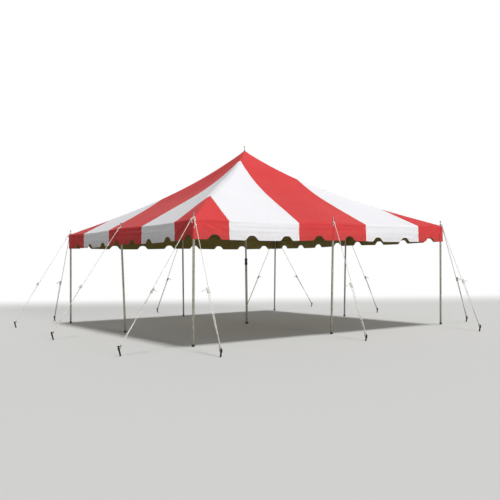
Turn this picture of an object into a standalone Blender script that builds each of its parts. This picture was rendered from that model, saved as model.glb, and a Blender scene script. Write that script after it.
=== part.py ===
"""Square pole tent with a striped roof, a notched valance, poles, guy ropes and stakes.

Metres, +Z up. The origin is on the ground under the peak, +X runs to the right along the front
eave and +Y to the back. Each side of the tent is the front side turned by a quarter turn.
"""
import bpy
import bmesh
from math import atan2, cos, hypot, pi, radians, sin, sqrt
from mathutils import Matrix, Vector

# Roof
HALF = 3.048             # pole line to the middle, for a tent 20 ft square
EAVE = 2.134             # top of the fabric at a side pole, 7 ft
PEAK = 3.965             # top of the fabric at the centre pole, 13 ft
OVERHANG = 0.040         # fabric past the pole line
EDGE = HALF + OVERHANG
FABRIC = 0.004           # fabric with its hems, as thick as the solids need
BULGE = 0.060            # how far the middle of a roof face stands above its hips
TAUT_LIFT = 1.10         # sets how much straighter the two taut hips run than the slack ones
SLACK_LIFT = 0.055       # how far the slack hips stand above the roof's even sag
SAG_LINEAR = 0.63        # share of the rise that is straight, the rest curves
GAP = 0.0003             # between solids that touch

# Stripes
HIP_TAUT = 0.33          # where the middle stripe meets the front left and back right hips
HIP_SLACK = 0.83         # where it meets the front right hip
HIP_FAR = 1.38           # where it meets the back left hip
KITE_HIP = 2.26          # where a corner stripe starts on its hip
PEAK_HOLE = 0.012        # half side of the opening round the centre pin
# Edges of the stripes at each eave, left to right as one stands before that side
EAVE_MARKS = {
    "front": (-2.36, -0.87, 0.83, 2.30),
    "right": (-2.33, -0.85, 0.85, 2.33),
    "back": (-2.33, -0.85, 0.85, 2.33),
    "left": (-2.04, -0.57, 1.08, 2.40),
}

# Valance
VALANCE_DROP = 0.345     # from the eave to the lower edge
NOTCH_PITCH = 2 * HALF / 8
NOTCH_HALF = 0.150       # half width of a notch at the lower edge
NOTCH_RISE = 0.085
NOTCH_POWER = 1.7        # above 1, a notch is flatter at its top than a cosine
NOTCH_STEPS = 12
NOTCH_SHIFT = {"front": 0.0, "right": 0.0, "back": 0.0, "left": 0.24}

# Poles
SIDE_POLE_R = 0.0205
FOOT_R = 0.026
FOOT_HEIGHT = 0.040
PIN_R = 0.007
PIN_ABOVE = 0.105        # pin above the fabric
PIN_HOLE_R = PIN_R + GAP
LOWER_POLE_R = 0.0255
UPPER_POLE_R = 0.0190
SLEEVE_R = 0.0300
SLEEVE_LOW = 1.340
SLEEVE_HIGH = 1.490
CENTRE_FOOT_R = 0.034

# Guy ropes and stakes
ROPE_R = 0.0055
KNOT_ABOVE = 0.022       # loop on the pin above the fabric
RUNNER_SHARE = 0.42      # runner's place, as a share of the rope from the stake
TAIL = 0.12
EYE_TAIL = 0.11          # end of a middle rope beside itself, below its pin
LOOP_LEVEL = 0.70        # height of the loop on a stake, as a share of the stake's height
ROPE_ROUND_PIN = PIN_R + ROPE_R + 0.0006
ROPE_ROUND_STAKE = 0.0010
ROPES_APART = 0.0030     # between two lengths of one rope
HEM_CLEAR = 0.010        # from the hem of the roof to a rope that bends over it
STAKE_R = 0.013
STAKE_HEAD_R = 0.018
STAKE_HEAD = 0.012
STAKE_LEAN = radians(15)

# Stakes, each with its pole, its place on the ground and its height above it
CORNERS = {
    "front_left": (-HALF, -HALF, ((-4.49, -3.32, 0.155), (-3.36, -4.37, 0.120))),
    "front_right": (HALF, -HALF, ((2.42, -4.49, 0.125), (3.91, -2.99, 0.120))),
    "back_right": (HALF, HALF, ((4.86, 3.67, 0.120), (2.93, 4.40, 0.120))),
    "back_left": (-HALF, HALF, ((-3.17, 3.92, 0.120), (-4.44, 2.72, 0.138))),
}
MIDDLES = {
    "front": (0.0, -HALF, (-0.33, -4.24, 0.105)),
    "right": (HALF, 0.0, (4.45, 0.37, 0.120)),
    "back": (0.0, HALF, (0.12, 4.85, 0.120)),
    "left": (-HALF, 0.0, (-4.57, -0.35, 0.145)),
}
# How far the foot of each side pole stands from the point under its pin
LEANS = {
    "front_left": (-0.030, 0.020),
    "front": (-0.055, 0.040),
    "front_right": (-0.030, 0.020),
    "right": (-0.055, 0.040),
    "back_right": (-0.045, 0.030),
    "back": (0.0, 0.0),
    "back_left": (-0.015, 0.010),
    "left": (0.055, -0.040),
}
SIDES = ("front", "right", "back", "left")
CORNER_ORDER = ("front_left", "front_right", "back_right", "back_left")
HIPS = (HIP_TAUT, HIP_SLACK, HIP_TAUT, HIP_FAR)

# Rows of the roof mesh, as distances from the middle
ROWS = (EDGE, 2.95, 2.60, KITE_HIP, 1.95, 1.65, HIP_FAR, 1.10, HIP_SLACK, 0.58, HIP_TAUT, 0.15, 0.04,
        PEAK_HOLE)


def clear_scene():
    for old in list(bpy.data.objects):
        bpy.data.objects.remove(old, do_unlink=True)


def new_collection(name):
    made = bpy.data.collections.new(name)
    bpy.context.scene.collection.children.link(made)
    return made


def material(name, colour, roughness, metallic=0.0):
    made = bpy.data.materials.new(name)
    made.use_nodes = True
    shader = made.node_tree.nodes["Principled BSDF"]
    shader.inputs["Base Color"].default_value = (*colour, 1.0)
    shader.inputs["Roughness"].default_value = roughness
    shader.inputs["Metallic"].default_value = metallic
    made.diffuse_color = (*colour, 1.0)
    return made


def place(name, mesh, finish):
    """Puts a finished mesh in the tent's collection as one object."""
    mesh.name = name
    mesh.materials.clear()
    mesh.materials.append(finish)
    made = bpy.data.objects.new(name, mesh)
    TENT.objects.link(made)
    return made


def baked(holder):
    """The evaluated mesh of an object, which is then removed."""
    graph = bpy.context.evaluated_depsgraph_get()
    mesh = bpy.data.meshes.new_from_object(holder.evaluated_get(graph))
    bpy.data.objects.remove(holder, do_unlink=True)
    return mesh


def turned(profile, steps=16):
    """A closed turned mesh. The profile runs down the outer side from the axis to the axis."""
    mesh = bpy.data.meshes.new("profile")
    points = [(r, 0.0, z) for r, z in profile]
    mesh.from_pydata(points, [(i, i + 1) for i in range(len(points) - 1)], [])
    holder = bpy.data.objects.new("profile", mesh)
    TENT.objects.link(holder)
    screw = holder.modifiers.new("Screw", "SCREW")
    screw.steps = steps
    screw.render_steps = steps
    screw.use_merge_vertices = True
    screw.merge_threshold = 0.0001
    return baked(holder)


def slack_height(far):
    """Height of the slack hips, from the larger distance to the middle."""
    u = 1 - far / HALF
    return EAVE + (PEAK - EAVE) * (SAG_LINEAR * u + (1 - SAG_LINEAR) * u ** 3)


def roof_top(x, y):
    """Height of the fabric's upper face."""
    far = max(abs(x), abs(y))
    across = min(abs(x), abs(y)) / max(far, 0.0001)
    u = max(1 - far / HALF, 0.0)
    height = slack_height(far) + BULGE * 4 * u * (1 - u) * (1 - across ** 2)
    if x * y > 0:
        return height + TAUT_LIFT * u * (1 - u) ** 1.5 * across ** 2
    return height + SLACK_LIFT * 4 * u * (1 - u) * across ** 2


def slope_factor(x, y):
    """Upright thickness of the fabric for each unit of its own thickness."""
    step = 0.001
    far = max(abs(x), abs(y))
    rise = slack_height(far - step) - slack_height(far + step)
    return sqrt(1 + (rise / (2 * step)) ** 2)


def roof_under(x, y):
    return roof_top(x, y) - FABRIC * slope_factor(x, y)


def lowest_under(x, y, radius):
    """Lowest point of the fabric's lower face over a round pole top."""
    ring = [(x + radius * cos(2 * pi * k / 24), y + radius * sin(2 * pi * k / 24)) for k in range(24)]
    return min(roof_under(px, py) for px, py in ring)


def wing(rows, limits, parts, k):
    """One roof strip of side k, flat. limits gives its two ends in a row of the front side."""
    bm = bmesh.new()
    bmesh.ops.create_grid(bm, x_segments=parts, y_segments=len(rows) - 1, size=1.0)
    for vert in bm.verts:
        far = rows[round((vert.co.y + 1) / 2 * (len(rows) - 1))]
        left, right = limits(far)
        across = left + (right - left) * (vert.co.x + 1) / 2
        vert.co = Vector((across, -far, 0.0))
    bmesh.ops.rotate(bm, verts=bm.verts, matrix=Matrix.Rotation(k * pi / 2, 3, "Z"))
    return bm


def fabric(wings):
    """Joins flat strips, raises them to the roof's shape and closes them into one sheet."""
    bm = bmesh.new()
    for strip in wings:
        mesh = bpy.data.meshes.new("strip")
        strip.to_mesh(mesh)
        strip.free()
        bm.from_mesh(mesh)
        bpy.data.meshes.remove(mesh)
    bmesh.ops.remove_doubles(bm, verts=bm.verts, dist=0.00005)
    under = list(bm.verts)
    bmesh.ops.extrude_face_region(bm, geom=list(bm.faces))
    for vert in bm.verts:
        vert.co.z = roof_top(vert.co.x, vert.co.y)
    for vert in under:
        vert.co.z = roof_under(vert.co.x, vert.co.y)
    bmesh.ops.recalc_face_normals(bm, faces=bm.faces)
    return bm


def seam(hip, mark, far):
    """Place of a seam in a row. It runs from a hip to its mark at the eave."""
    return hip + (mark - hip) * (far - hip) / (EDGE - hip)


def hip_gap(hip, mark):
    """How far along the hip half a gap beside a seam reaches."""
    slope = (mark - hip) / (EDGE - hip)
    return GAP / 2 / (1 - slope)


def marks_by_corner(k):
    """Eave marks on the two sides of corner k: the side it starts, then the side it ends."""
    after = EAVE_MARKS[SIDES[k]]
    before = EAVE_MARKS[SIDES[k - 1]]
    return (-after[0], -after[1]), (before[3], before[2])


def roof_crown():
    """Four middle stripes that meet at the peak, as one cross."""
    wings = []
    rows = list(ROWS)
    for hip in (HIP_TAUT, HIP_SLACK, HIP_FAR):
        rows[rows.index(hip)] = hip - GAP
    for k, side in enumerate(SIDES):
        marks = EAVE_MARKS[side]
        hips = (HIPS[k], HIPS[(k + 1) % 4])

        def limits(far):
            left = min(far, seam(hips[0], -marks[1], far) - GAP / 2)
            right = min(far, seam(hips[1], marks[2], far) - GAP / 2)
            return -left, right

        wings.append(wing(rows, limits, 4, k))
    return fabric(wings)


def both_sides(k, rows, ends, parts):
    """A hip panel at corner k. ends gives its outer and inner limit from the marks and a row."""
    after, before = marks_by_corner(k)

    def start_of_side(far):
        outer, inner = ends(after, far)
        return -outer, -inner

    def end_of_side(far):
        outer, inner = ends(before, far)
        return inner, outer

    return fabric([wing(rows, start_of_side, parts, k), wing(rows, end_of_side, parts, k - 1)])


def roof_chevron(k):
    """White panel over a hip, between the middle stripe and the corner stripe."""
    hip = HIPS[k]
    start = hip + max(hip_gap(hip, marks[1]) for marks in marks_by_corner(k))
    rows = [far for far in ROWS if far > hip]
    rows[rows.index(KITE_HIP)] = KITE_HIP - GAP
    rows.append(start)

    def ends(marks, far):
        outer = far
        if far > KITE_HIP - GAP:
            outer = seam(KITE_HIP, marks[0], far) - GAP / 2
        return outer, min(far, seam(hip, marks[1], far) + GAP / 2)

    return both_sides(k, rows, ends, 3)


def roof_kite(k):
    """Red panel at a corner, folded over the hip."""
    start = KITE_HIP + max(hip_gap(KITE_HIP, marks[0]) for marks in marks_by_corner(k))
    rows = [far for far in ROWS if far > KITE_HIP]
    rows.append(start)

    def ends(marks, far):
        return far, min(far, seam(KITE_HIP, marks[0], far) + GAP / 2)

    return both_sides(k, rows, ends, 2)


def cut_pin_holes(panel, places):
    """Cuts the holes for the pole pins."""
    for x, y in places:
        bm = bmesh.new()
        spot = Matrix.Translation((x, y, EAVE))
        bmesh.ops.create_cone(bm, cap_ends=True, segments=16, radius1=PIN_HOLE_R,
                              radius2=PIN_HOLE_R, depth=0.2, matrix=spot)
        mesh = bpy.data.meshes.new("pin_hole")
        bm.to_mesh(mesh)
        bm.free()
        cutter = bpy.data.objects.new("pin_hole", mesh)
        cutter.hide_render = True
        cutter.display_type = "WIRE"
        CUTTERS.objects.link(cutter)
        cut = panel.modifiers.new("Pin hole", "BOOLEAN")
        cut.operation = "DIFFERENCE"
        cut.object = cutter


def roof_panel(name, bm, finish, holes=()):
    mesh = bpy.data.meshes.new(name)
    bm.to_mesh(mesh)
    bm.free()
    cut_pin_holes(place(name, mesh, finish), holes)


def make_roof():
    middles = [(x, y) for x, y, stake in MIDDLES.values()]
    roof_panel("roof_crown_red", roof_crown(), RED, middles)
    for k, corner in enumerate(CORNER_ORDER):
        x, y = CORNERS[corner][:2]
        roof_panel("roof_white_" + corner, roof_chevron(k), WHITE)
        roof_panel("roof_red_" + corner, roof_kite(k), RED, [(x, y)])


def notch_rise(along, side):
    """Height of the lower edge above the flat stretches, along one side.

    A notch is a bell: round at the top, and flared where it meets the flat edge.
    """
    place_in_pitch = (along - NOTCH_SHIFT[side]) / NOTCH_PITCH - 0.5
    off = abs(place_in_pitch - round(place_in_pitch)) * NOTCH_PITCH / NOTCH_HALF
    if off >= 1:
        return 0.0
    return NOTCH_RISE * (0.5 + 0.5 * cos(pi * off ** NOTCH_POWER))


def stations(start, end, side):
    """Places along a side where the lower edge needs a point."""
    marks = {start, end}
    for n in range(-4, 4):
        middle = (n + 0.5) * NOTCH_PITCH + NOTCH_SHIFT[side]
        for step in range(NOTCH_STEPS + 1):
            mark = middle - NOTCH_HALF + 2 * NOTCH_HALF * step / NOTCH_STEPS
            if start < mark < end:
                marks.add(mark)
    return sorted(marks)


def ribbon(name, columns, turn, finish):
    """A hanging strip. columns lists (x, y, rise of the lower edge), left to right."""
    bm = bmesh.new()
    bmesh.ops.create_grid(bm, x_segments=len(columns) - 1, y_segments=1, size=1.0)
    top = roof_under(0, EDGE) - GAP
    for vert in bm.verts:
        column = round((vert.co.x + 1) / 2 * (len(columns) - 1))
        x, y, rise = columns[column]
        low = EAVE - VALANCE_DROP + rise
        vert.co = Vector((x, y, top if vert.co.y > 0 else low))
    for face in bm.faces:
        face.normal_update()
    mesh = bpy.data.meshes.new(name)
    bm.to_mesh(mesh)
    bm.free()
    mesh.transform(Matrix.Rotation(turn * pi / 2, 4, "Z"))
    middle = sum((poly.center.dot(poly.normal) for poly in mesh.polygons), 0.0)
    if middle < 0:
        mesh.flip_normals()
    strip = place(name, mesh, finish)
    wall = strip.modifiers.new("Fabric", "SOLIDIFY")
    wall.thickness = FABRIC
    wall.offset = -1
    wall.use_even_offset = True
    return strip


def columns_of(side, start, end):
    return [(mark, -EDGE, notch_rise(mark, side)) for mark in stations(start, end, side)]


def make_valance():
    strips = (("white_left", WHITE), ("red", RED), ("white_right", WHITE))
    for k, side in enumerate(SIDES):
        marks = EAVE_MARKS[side]
        for i, (label, finish) in enumerate(strips):
            columns = columns_of(side, marks[i] + GAP / 2, marks[i + 1] - GAP / 2)
            ribbon("valance_" + side + "_" + label, columns, k, finish)
    for k, corner in enumerate(CORNER_ORDER):
        first = columns_of(SIDES[k - 1], EAVE_MARKS[SIDES[k - 1]][3] + GAP / 2, EDGE)
        second = columns_of(SIDES[k], -EDGE, EAVE_MARKS[SIDES[k]][0] - GAP / 2)
        bent = [(-EDGE, -along, rise) for along, out, rise in first[:-1]]
        ribbon("valance_" + corner + "_red", bent + second, k, RED)


def make_side_pole(label, x, y):
    """A side pole. It leans below its shoulder, its foot and its pin stay level and upright."""
    top = lowest_under(x, y, SIDE_POLE_R) - GAP
    tip = EAVE + PIN_ABOVE
    profile = [
        (0.0, tip),
        (PIN_R * 0.6, tip),
        (PIN_R, tip - 0.004),
        (PIN_R, top),
        (SIDE_POLE_R - 0.001, top),
        (SIDE_POLE_R, top - 0.001),
        (SIDE_POLE_R, FOOT_HEIGHT),
        (FOOT_R - 0.002, FOOT_HEIGHT),
        (FOOT_R, FOOT_HEIGHT - 0.003),
        (FOOT_R, 0.0),
        (0.0, 0.0),
    ]
    mesh = turned(profile)
    for vert in mesh.vertices:
        share = 1 - min(vert.co.z, top) / top
        vert.co += Vector((LEANS[label][0], LEANS[label][1], 0.0)) * share
    pole = place("pole_" + label, mesh, STEEL)
    pole.location = (x, y, 0.0)


def make_centre_pole():
    lower = [
        (0.0, SLEEVE_HIGH),
        (SLEEVE_R - 0.002, SLEEVE_HIGH),
        (SLEEVE_R, SLEEVE_HIGH - 0.002),
        (SLEEVE_R, SLEEVE_LOW),
        (LOWER_POLE_R, SLEEVE_LOW - 0.002),
        (LOWER_POLE_R, FOOT_HEIGHT),
        (CENTRE_FOOT_R - 0.003, FOOT_HEIGHT),
        (CENTRE_FOOT_R, FOOT_HEIGHT - 0.004),
        (CENTRE_FOOT_R, 0.0),
        (0.0, 0.0),
    ]
    top = lowest_under(0.0, 0.0, UPPER_POLE_R) - GAP
    tip = PEAK + PIN_ABOVE
    upper = [
        (0.0, tip),
        (PIN_R * 0.6, tip),
        (PIN_R, tip - 0.004),
        (PIN_R, top),
        (UPPER_POLE_R - 0.001, top),
        (UPPER_POLE_R, top - 0.001),
        (UPPER_POLE_R, SLEEVE_HIGH + GAP),
        (0.0, SLEEVE_HIGH + GAP),
    ]
    place("centre_pole_lower", turned(lower, 20), STEEL)
    place("centre_pole_upper", turned(upper, 20), STEEL)


def stake_axis(pin, stake):
    """Outward direction on the ground, and the leaning axis of the stake."""
    out = Vector((stake[0] - pin[0], stake[1] - pin[1], 0.0)).normalized()
    lean = (out * sin(STAKE_LEAN) + Vector((0, 0, cos(STAKE_LEAN)))).normalized()
    return out, lean


def make_stake(name, pin, stake):
    """The part of a stake that stands above the ground, cut level with it."""
    x, y, height = stake
    out, lean = stake_axis(pin, stake)
    length = height / cos(STAKE_LEAN)
    profile = [
        (0.0, length),
        (STAKE_HEAD_R - 0.003, length),
        (STAKE_HEAD_R, length - 0.003),
        (STAKE_HEAD_R, length - STAKE_HEAD + 0.002),
        (STAKE_R, length - STAKE_HEAD),
        (STAKE_R, -0.03),
        (0.0, -0.03),
    ]
    mesh = turned(profile, 14)
    mesh.transform(Matrix.Translation((x, y, 0)) @ lean.to_track_quat("Z", "Y").to_matrix().to_4x4())
    bm = bmesh.new()
    bm.from_mesh(mesh)
    cut = bmesh.ops.bisect_plane(bm, geom=bm.verts[:] + bm.edges[:] + bm.faces[:], dist=0.00001,
                                 plane_co=(0, 0, 0), plane_no=(0, 0, 1), clear_inner=True)
    rim = [item for item in cut["geom_cut"] if isinstance(item, bmesh.types.BMEdge)]
    bmesh.ops.contextual_create(bm, geom=rim)
    bmesh.ops.recalc_face_normals(bm, faces=bm.faces)
    bm.to_mesh(mesh)
    bm.free()
    place(name, mesh, DARK_STEEL)


def hem_bend(pin, out, knot, foot):
    """Point where a steep rope bends over the hem of the roof, or None where it clears the hem."""
    reach = EDGE + HEM_CLEAR
    legs = [(reach - HALF) / abs(part) for at, part in zip(pin, out) if at and at * part > 0.0001]
    run = min(legs)
    level = slack_height(EDGE) + HEM_CLEAR
    share = run / hypot(foot.x - knot.x, foot.y - knot.y)
    if knot.z + (foot.z - knot.z) * share > level:
        return None
    return Vector((knot.x + out.x * run, knot.y + out.y * run, level))


def stake_loop(pin, stake, knot, hand):
    """Rope from just off the pin down to its stake, round it and back to the end of its tail.

    hand is 1 or -1, the side of the stake that the rope passes first.
    """
    x, y, height = stake
    out, lean = stake_axis(pin, stake)
    level = LOOP_LEVEL * height
    centre = Vector((x, y, 0)) + lean * (level / cos(STAKE_LEAN))
    side = Vector((-out.y, out.x, 0)) * hand
    bend = hem_bend(pin, out, knot, centre)
    if bend:
        knot = bend
    up = (knot - centre).normalized()
    wide = STAKE_R + ROPE_R + ROPE_ROUND_STAKE
    long = wide / sqrt(1 - up.dot(lean) ** 2)
    path = [bend] if bend else []
    for k in range(9):
        angle = pi * k / 8
        path.append(centre + side * wide * cos(angle) - up * long * sin(angle))
    rope = (knot - centre).length
    runner = centre + up * rope * RUNNER_SHARE
    beside = side * (-2 * ROPE_R - ROPES_APART)
    path.append(runner + beside)
    drop = Vector((0, 0, -1))
    path.append(runner + up * TAIL * 0.5 + beside * 1.6 + drop * 0.012)
    path.append(runner + up * TAIL * 0.8 + beside * 2.2 + drop * 0.045)
    return path


def pin_side(pin, towards, away_from):
    """Point beside the pin where a rope leaves it, on the side away from a direction."""
    level = EAVE + KNOT_ABOVE
    wide = ROPE_ROUND_PIN
    side = Vector((-towards.y, towards.x, 0))
    if side.dot(away_from) > 0:
        side = -side
    return Vector((pin[0], pin[1], level)) + side * wide, side


def pin_arc(pin, first, second, back):
    """Points round the inner side of the pin, between two of its sides."""
    level = EAVE + KNOT_ABOVE
    wide = ROPE_ROUND_PIN
    start = atan2(first.y, first.x)
    end = atan2(second.y, second.x)
    middle = atan2(back.y, back.x)
    before = (start - middle + pi) % (2 * pi) - pi
    after = (end - middle + pi) % (2 * pi) - pi
    points = []
    for k in range(7):
        angle = middle + before + (after - before) * k / 6
        points.append(Vector((pin[0] + wide * cos(angle), pin[1] + wide * sin(angle), level)))
    return points


def rope_object(name, path):
    curve = bpy.data.curves.new(name, "CURVE")
    curve.dimensions = "3D"
    curve.bevel_depth = ROPE_R
    curve.bevel_resolution = 2
    curve.use_fill_caps = True
    spline = curve.splines.new("POLY")
    spline.points.add(len(path) - 1)
    for point, spot in zip(spline.points, path):
        point.co = (*spot, 1.0)
    curve.materials.append(ROPE)
    made = bpy.data.objects.new(name, curve)
    TENT.objects.link(made)


def hand_of(out, side):
    """1 where side is to the left of the outward direction, -1 where it is to the right."""
    return 1 if Vector((-out.y, out.x, 0)).dot(side) > 0 else -1


def make_corner_rope(name, pin, stakes):
    """One rope from a stake, round the corner pin, to the other stake."""
    outs = [stake_axis(pin, stake)[0] for stake in stakes]
    back = -(outs[0] + outs[1]).normalized()
    knots = []
    sides = []
    for own, other in ((0, 1), (1, 0)):
        knot, side = pin_side(pin, outs[own], outs[other])
        knots.append(knot)
        sides.append(side)
    legs = [stake_loop(pin, stakes[i], knots[i], hand_of(outs[i], sides[i])) for i in (0, 1)]
    arc = pin_arc(pin, sides[0], sides[1], back)
    rope_object(name, list(reversed(legs[0])) + arc + legs[1])


def make_middle_rope(name, pin, stake):
    """A rope with an eye round the pin of a middle pole."""
    out = stake_axis(pin, stake)[0]
    side = Vector((-out.y, out.x, 0))
    knot = Vector((pin[0], pin[1], EAVE + KNOT_ABOVE)) + side * ROPE_ROUND_PIN
    leg = stake_loop(pin, stake, knot, 1)
    arc = pin_arc(pin, -side, side, -out)
    down = (leg[0] - knot).normalized()
    end = knot - side * (2 * ROPE_R + ROPES_APART) + down * EYE_TAIL
    rope_object(name, [end, end - down * EYE_TAIL / 2] + arc + leg)


def make_guys():
    for corner, (x, y, stakes) in CORNERS.items():
        make_corner_rope("guy_rope_" + corner, (x, y), stakes)
        for label, stake in zip(("a", "b"), stakes):
            make_stake("stake_" + corner + "_" + label, (x, y), stake)
    for side, (x, y, stake) in MIDDLES.items():
        make_middle_rope("guy_rope_" + side, (x, y), stake)
        make_stake("stake_" + side, (x, y), stake)


clear_scene()
TENT = new_collection("marquee_tent")
CUTTERS = new_collection("cutters")
RED = material("red coated vinyl", (0.62, 0.055, 0.062), 0.45)
WHITE = material("white coated vinyl", (0.86, 0.85, 0.87), 0.45)
STEEL = material("galvanised steel", (0.33, 0.32, 0.28), 0.45, 0.7)
DARK_STEEL = material("weathered steel", (0.03, 0.028, 0.024), 0.6, 0.5)
ROPE = material("polyester rope", (0.70, 0.69, 0.64), 0.85)

make_roof()
make_valance()
for corner_name, (pole_x, pole_y, corner_stakes) in CORNERS.items():
    make_side_pole(corner_name, pole_x, pole_y)
for side_name, (pole_x, pole_y, side_stake) in MIDDLES.items():
    make_side_pole(side_name, pole_x, pole_y)
make_centre_pole()
make_guys()
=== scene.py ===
"""Looks of the square pole tent: the striped roof and valance as sewn sheets of coated fabric, the
poles with their feet and pins, the twisted guy ropes with their knots and runners, and the stakes.

Metres, +Z up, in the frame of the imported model. Each side of the tent is the front side turned by a
quarter turn, so a place on the fabric is a side, a distance along it and a distance down from the peak.
"""
from math import atan2, cos, hypot, pi, radians, sin, sqrt, tan

import bmesh
import bpy
import numpy as np
from mathutils import Matrix, Vector


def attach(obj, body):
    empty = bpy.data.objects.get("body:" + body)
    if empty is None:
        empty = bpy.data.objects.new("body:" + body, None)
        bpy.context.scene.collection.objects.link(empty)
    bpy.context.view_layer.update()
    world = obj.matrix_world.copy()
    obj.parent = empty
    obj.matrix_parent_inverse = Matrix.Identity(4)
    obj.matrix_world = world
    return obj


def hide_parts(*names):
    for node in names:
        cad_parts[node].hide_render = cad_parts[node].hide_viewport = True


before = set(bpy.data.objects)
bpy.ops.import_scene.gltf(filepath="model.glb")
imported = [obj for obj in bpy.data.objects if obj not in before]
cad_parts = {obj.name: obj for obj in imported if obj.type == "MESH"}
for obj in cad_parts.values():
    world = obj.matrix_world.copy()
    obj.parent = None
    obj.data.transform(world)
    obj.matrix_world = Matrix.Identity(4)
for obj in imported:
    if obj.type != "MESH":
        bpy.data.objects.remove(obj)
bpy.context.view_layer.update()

# Roof and valance, as in the part
HALF = 3.048
EAVE = 2.134
PEAK = 3.965
EDGE = HALF + 0.040
BULGE = 0.060
TAUT_LIFT = 1.10
SLACK_LIFT = 0.055
SAG_LINEAR = 0.63
# A seam starts a little further down its hip than in the part, since the soft turn draws the cloth in
HIP_TAUT = 0.385
HIP_SLACK = 0.838
HIP_FAR = 1.390
KITE_HIP = 2.270
KITE_HIGH = 2.110        # at the front right corner
PEAK_HOLE = 0.012
EAVE_MARKS = {
    "front": (-2.36, -0.87, 0.83, 2.30),
    "right": (-2.33, -0.85, 0.85, 2.33),
    "back": (-2.33, -0.85, 0.85, 2.33),
    "left": (-2.04, -0.57, 1.08, 2.40),
}
VALANCE_DROP = 0.345
NOTCH_PITCH = 2 * HALF / 8
NOTCH_HALF = 0.150
NOTCH_RISE = 0.085
NOTCH_POWER = 1.7
NOTCH_SHIFT = {"front": 0.0, "right": 0.0, "back": 0.0, "left": 0.24}

# Poles, ropes and stakes, as in the part
SIDE_POLE_R = 0.0205
FOOT_R = 0.026
FOOT_HEIGHT = 0.040
PIN_R = 0.007
PIN_ABOVE = 0.105
LOWER_POLE_R = 0.0255
UPPER_POLE_R = 0.0190
SLEEVE_R = 0.0300
SLEEVE_LOW = 1.340
SLEEVE_HIGH = 1.490
CENTRE_FOOT_R = 0.034
ROPE_R = 0.0062          # half inch rope, a little thicker than the part's
KNOT_ABOVE = 0.022
ROPE_ROUND_PIN = PIN_R + ROPE_R + 0.0006
RUNNER_SHARE = 0.42
LOOP_LEVEL = 0.70
HEM_CLEAR = 0.010
STAKE_R = 0.013
STAKE_HEAD_R = 0.018
STAKE_HEAD = 0.012
STAKE_LEAN = radians(15)
CORNERS = {
    "front_left": (-HALF, -HALF, ((-4.49, -3.32, 0.155), (-3.36, -4.37, 0.120))),
    "front_right": (HALF, -HALF, ((2.42, -4.49, 0.125), (3.91, -2.99, 0.120))),
    "back_right": (HALF, HALF, ((4.86, 3.67, 0.120), (2.93, 4.40, 0.120))),
    "back_left": (-HALF, HALF, ((-3.17, 3.92, 0.120), (-4.44, 2.72, 0.138))),
}
MIDDLES = {
    "front": (0.0, -HALF, (-0.33, -4.24, 0.105)),
    "right": (HALF, 0.0, (4.45, 0.37, 0.120)),
    "back": (0.0, HALF, (0.12, 4.85, 0.120)),
    "left": (-HALF, 0.0, (-4.57, -0.35, 0.145)),
}
LEANS = {
    "front_left": (-0.030, 0.020),
    "front": (-0.055, 0.040),
    "front_right": (-0.030, 0.020),
    "right": (-0.055, 0.040),
    "back_right": (-0.045, 0.030),
    "back": (0.0, 0.0),
    "back_left": (-0.015, 0.010),
    "left": (0.055, -0.040),
}
SIDES = ("front", "right", "back", "left")
CORNER_ORDER = ("front_left", "front_right", "back_right", "back_left")
HIPS = (HIP_TAUT, HIP_SLACK, HIP_TAUT, HIP_FAR)
KITES = (KITE_HIP, KITE_HIGH, KITE_HIP, KITE_HIP)

# How the fabric is finished
CLOTH = 0.0012           # coated fabric with its backing, a little thick so that an edge shows
EAVE_BEND = 0.034        # radius where the roof turns down into the valance
HIP_BEND = 0.030         # radius of the fold over a hip at the corner
HIP_ROUND = 0.10         # and higher up, where the cloth runs over softly
HIP_EASE = 0.88          # where the lift of a taut hip starts to level out, as a share of the way to it
EAVE_SAG = 0.018         # how far the eave hangs between two pins
CALM = 0.20              # radius round a pin in which the patch keeps the cloth smooth
TAPE = 0.026             # width of a welded seam
HEM = 0.025              # height of the welded hem of the valance
WEBBING = 0.050          # width of the load straps sewn under the roof
STRAP_THICK = 0.0018

# How the rigid pieces and ropes are finished
SMOOTH_ANGLE = radians(38)
SIDE_TOP = 2.120         # shoulder of a side pole, just under the cloth
CENTRE_TOP = 3.938       # shoulder of the centre pole
KNOB_R = 0.0125          # knob at the tip of a pin
KNOB_HEIGHT = 0.044
ROPE_LAY = 0.048         # length in which a strand goes once round
ROPE_STEP = 0.0060       # between two rings of the rope's mesh, eight to a turn of the lay
HITCH_PITCH = 0.0130     # between two turns of a hitch
RUNNER_SPAN = 0.026      # between the holes of a runner
RUNNER_TALL = 0.050
LINK_WIRE = 0.0040       # radius of the steel of the link over a stake
LINK_LENGTH = 0.090      # between the middles of its two ends
LINK_HALF = STAKE_R + LINK_WIRE + 0.0008
ROPE_ROUND_LINK = LINK_WIRE + ROPE_R + 0.0003
# Ropes that lie in the tent's shadow take a darker rope finish: painted shade
PAINTED_SHADE_ROPES = ("back_left_a", "back", "back_right_a", "back_right_b", "right", "front_right_b")
PIN_PLACES = {label: spot[:2] for label, spot in (*CORNERS.items(), *MIDDLES.items())}


# Stage
VIEW_YAW = radians(33.81)
FLOOR_COLOUR = "#D8D8D6"
HORIZON_LIGHT = 0.05
ZENITH_LIGHT = 0.16


# Nodes and colours


def linear(hex_colour):
    """An sRGB hex colour as linear red, green, blue and alpha."""
    parts = [int(hex_colour[i:i + 2], 16) / 255 for i in (1, 3, 5)]
    return (*(c / 12.92 if c <= 0.04045 else ((c + 0.055) / 1.055) ** 2.4 for c in parts), 1.0)


def new_material(name, hex_colour, roughness, metallic=0.0):
    made = bpy.data.materials.new(name)
    made.use_nodes = True
    shader = made.node_tree.nodes["Principled BSDF"]
    shader.inputs["Base Color"].default_value = linear(hex_colour)
    shader.inputs["Roughness"].default_value = roughness
    shader.inputs["Metallic"].default_value = metallic
    made.diffuse_color = linear(hex_colour)
    return made, made.node_tree, shader


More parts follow.
